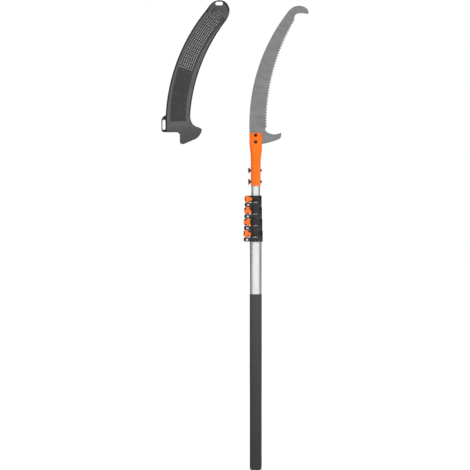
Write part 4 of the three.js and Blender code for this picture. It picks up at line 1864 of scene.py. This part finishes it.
    def shell(self, name: str) -> Piece:
        """Make the front shell: a face with its panel recessed, a rim and long ribs.

        Args:
            name: The shell's name.

        Returns:
            The shell.
        """
        face, inside = -self.depth, -(self.depth - self.wall)
        floor = face + self.recess
        plate = pressed(name, [self.outline(), self.tip_slot()], face, inside, self.wall / 2 - 0.01 * MM)
        first, last = self.perforated
        panel = self.panel_band(first - 1.1, self.panel_foot)
        window = self.panel_band(first - 0.5, last + 0.3, -0.8 * MM)
        skin = self.panel_band(first - 0.8, last + 0.5, -0.2 * MM)
        cut_all(
            plate,
            pressed("recess", [panel], face - MM, floor),
            pressed("window", [window], face, inside + MM),
            *self.seam_notches(face),
        )
        add_all(
            plate,
            pressed("skin", [skin, *self.slots()], floor - 0.01 * MM, inside + 0.1 * MM),
            *self.ribs(floor),
            self.rim_wall(inside - 0.5 * MM),
        )
        return flatten_faces(plate, 0.3)

    def seam_notches(self, face: float) -> list[Piece]:
        """Make the cutters for the groove across both borders, and for the panel's corner mark.

        Args:
            face: The outer face's place in depth.

        Returns:
            The cutters.
        """
        cutters = []
        for inner, outer in ((0.4795, 0.494), (0.410, 0.4285)):
            outline = self.wedge(156.88, 157.12, inner, outer)
            cutters.append(pressed("notch", [outline], face - MM, face + 1.4 * MM))
        mark = self.wedge(180.2, 181.1, 0.4335, 0.4385)
        cutters.append(pressed("mark", [mark], face - MM, face + 1.6 * MM))
        return cutters

    def ribs(self, floor: float) -> list[Piece]:
        """Make the long ribs below the perforations, standing on the panel.

        Args:
            floor: The panel's place in depth.

        Returns:
            The ribs.
        """
        made = []
        for column in range(self.columns):
            outline = self.ribbon(column, self.rib_half, *self.ribbed)
            foot, top = floor + 0.3 * MM, floor - self.rib_height
            made.append(pressed(f"rib_{column}", [outline], top, foot, 0.2 * MM))
        return made

    def rim_wall(self, near: float) -> Piece:
        """Make the wall round the pocket, open at the foot, with a solid peg at the tip slot.

        Args:
            near: The wall's outer end, in depth.

        Returns:
            The wall.
        """
        far = -self.seam
        hook = self.heel_cover()[:13]
        hook += bow((-161.7, 1019), (-165.5, 1001), (-180, 992.5), 6)[:2]
        hook += [(-165.5, 1012.5), (-165.5, 1019), *bow((-165.5, 1019), (-166, 1023), (-179.5, 1026.5))]
        hook += bow((-179.5, 1026.5), (-200, 1034), (-200.1, 1065))
        crown = [(-83.5, 1366), (-82.5, 1376), (-86, 1385), (-126, 1385), (-143, 1378)]
        inner = arc(self.edge, self.edge_radius + self.rim, 175.9, 142.6, 36)
        inner += mm_points(crown) + arc(self.back, self.back_radius - self.rim, 142.9, 182.4, 44)
        wall = pressed("rim", [self.outer_run() + mm_points(hook) + inner], near, far)
        return cut_all(wall, pressed("peg", [self.tip_slot()], near - MM, far + MM))

    def belt_loop(self) -> Piece:
        """Make the loop on the back edge of the back shell.

        Returns:
            The loop.
        """
        outer = [(-262, 1012.5), (-274, 1012.5)]
        outer += [*bow((-274, 1012.5), (-283, 1013), (-283, 1023), 8), (-283, 1047)]
        outer += [*bow((-283, 1047), (-282, 1056), (-276, 1060.5), 8), (-262, 1068)]
        left, middle, right = -280, -275.4, -270.9
        foot, low, high, top = 1019.8, 1026, 1044, 1050.2
        hole = bow((left, low), (left, foot), (middle, foot), 6)
        hole += bow((middle, foot), (right, foot), (right, low), 6)
        hole += bow((right, high), (right, top), (middle, top), 6)
        hole += bow((middle, top), (left, top), (left, high), 6)
        return pressed("belt_loop", [mm_points(outer), mm_points(hole)], 0.2 * MM, 3.7 * MM, 0.7 * MM)


# ---------------------------------------------------------------- studio


@dataclass
class Studio:
    """Pale floor, soft light and a long lens square to the blade's plane."""

    distance: float = 6.5
    margin: float = 1.001
    sensor: float = 36.0
    floor_size: float = 120.0
    dome: float = 1.4
    behind: float = 0.15
    flags: Flat = (0.05, 0.15)           # how bright the sky stays at the far left and right

    def build(self) -> None:
        """Build the floor, the light and the camera."""
        self.floor()
        self.sky()
        self.cards()
        self.lamps()
        self.camera()

    def floor(self) -> None:
        """Lay a plain pale floor under the butt end."""
        bpy.ops.mesh.primitive_plane_add(size=self.floor_size, location=(0, 0, CAD_BOX[0].z - 0.2 * MM))
        floor = named("studio_floor")
        mix = Recipe("studio_floor")
        mix.set(Base_Color=(0.90, 0.90, 0.90, 1), Roughness=0.9, Specular_IOR_Level=0.1)
        floor.data.materials.append(mix.material)

    def sky(self) -> None:
        """Surround the scene with a bright dome over a band that is dim behind and beside the saw."""
        world = bpy.data.worlds.new("studio_sky")
        bpy.context.scene.world = world
        world.use_nodes = True
        mix = Graph(world.node_tree)
        way = mix.add("ShaderNodeSeparateXYZ", Vector=mix.coordinates.outputs["Generated"])
        front = mix.remap(way.outputs["Y"], -0.95, -0.55, 0.92, 1.05)
        behind = mix.remap(way.outputs["Y"], -0.1, 0.4, 0, 1)
        around = mix.sum("MULTIPLY_ADD", behind, mix.sum("SUBTRACT", self.behind, front), front)
        right = mix.remap(way.outputs["X"], 0.78, 0.96, 1, self.flags[1])
        left = mix.remap(way.outputs["X"], -0.94, -0.74, self.flags[0], 1)
        band = mix.sum("MULTIPLY", around, mix.sum("MULTIPLY", left, right))
        above = mix.remap(way.outputs["Z"], 0.25, 0.65, 0, 1)
        strength = mix.sum("MULTIPLY_ADD", above, mix.sum("SUBTRACT", self.dome, band), band)
        light = mix.add("ShaderNodeBackground", Color=(1, 1, 1, 1), Strength=strength)
        plain = mix.add("ShaderNodeBackground", Color=(1, 1, 1, 1), Strength=1.0)
        seen = mix.add("ShaderNodeLightPath").outputs["Is Camera Ray"]
        choose = mix.add("ShaderNodeMixShader", Fac=seen)
        mix.feed(choose.inputs[1], light.outputs[0])
        mix.feed(choose.inputs[2], plain.outputs[0])
        mix.add("ShaderNodeOutputWorld", Surface=choose.outputs[0])

    def cards(self) -> None:
        """Stand two black cards behind the saw, seen only in its reflections, to draw its edges."""
        for side in (-1, 1):
            name = "card_left" if side < 0 else "card_right"
            bpy.ops.mesh.primitive_plane_add(
                size=1, location=(side * 0.75, 0.95, 2), rotation=(math.pi / 2, 0, side * -0.7)
            )
            bpy.context.active_object.scale = (1.1, 4, 1)
            card = named(name)
            mix = Recipe(name)
            mix.set(Base_Color=(0.01, 0.01, 0.01, 1), Roughness=1.0, Specular_IOR_Level=0.0)
            card.data.materials.append(mix.material)
            card.visible_camera = card.visible_diffuse = card.visible_shadow = False

    def lamps(self) -> None:
        """Hang a tall strip of light on each side in front, and a soft lamp behind."""
        self.lamp("right", (1.75, -1.6, 1.1), (0.4, 2.2), 26)
        self.lamp("left", (-1.9, -1.3, 1.2), (0.4, 2.2), 8)
        self.lamp("back", (-0.8, 3.0, 2.4), (2.4, 1.6), 30)

    def lamp(self, name: str, place: Point, size: Flat, power: float) -> None:
        """Hang one soft rectangular lamp that faces the middle of the saw.

        Args:
            name: The lamp's name.
            place: Where it hangs.
            size: Its width and height.
            power: Its power, in watts.
        """
        bpy.ops.object.light_add(type="AREA", location=place)
        lamp = bpy.context.active_object
        lamp.name = name
        lamp.data.shape = "RECTANGLE"
        lamp.data.size, lamp.data.size_y = size
        lamp.data.energy = power
        lamp.visible_camera = lamp.visible_glossy = False
        middle = (CAD_BOX[0] + CAD_BOX[1]) / 2
        lamp.rotation_euler = (middle - Vector(place)).to_track_quat("-Z", "Y").to_euler()

    def camera(self) -> None:
        """Stand the camera square in front, so that the frame is as high as the saw."""
        low, high = CAD_BOX
        middle = (low + high) / 2
        place = (middle.x, -self.distance, middle.z)
        bpy.ops.object.camera_add(location=place, rotation=(math.pi / 2, 0, 0))
        camera = bpy.context.active_object
        camera.data.sensor_width = self.sensor
        camera.data.lens = self.sensor * self.distance / ((high.z - low.z) * self.margin)
        camera.data.clip_end = 100
        bpy.context.scene.camera = camera


def main() -> None:
    """Build the saw, piece by piece, and the studio round it."""
    logging.basicConfig(level=logging.INFO, format="%(name)s: %(message)s")
    plan = BladePlan()
    finishes = Finishes(plan)
    Studio().build()
    Pole(finishes).build()
    for number in CLAMPS:
        Clamp(finishes, number).build()
    Socket(finishes).build()
    Blade(finishes, plan).build()
    Sheath(finishes).build()
    bpy.context.scene.view_settings.view_transform = "Standard"
    select_only()


if __name__ == "__main__":
    main()
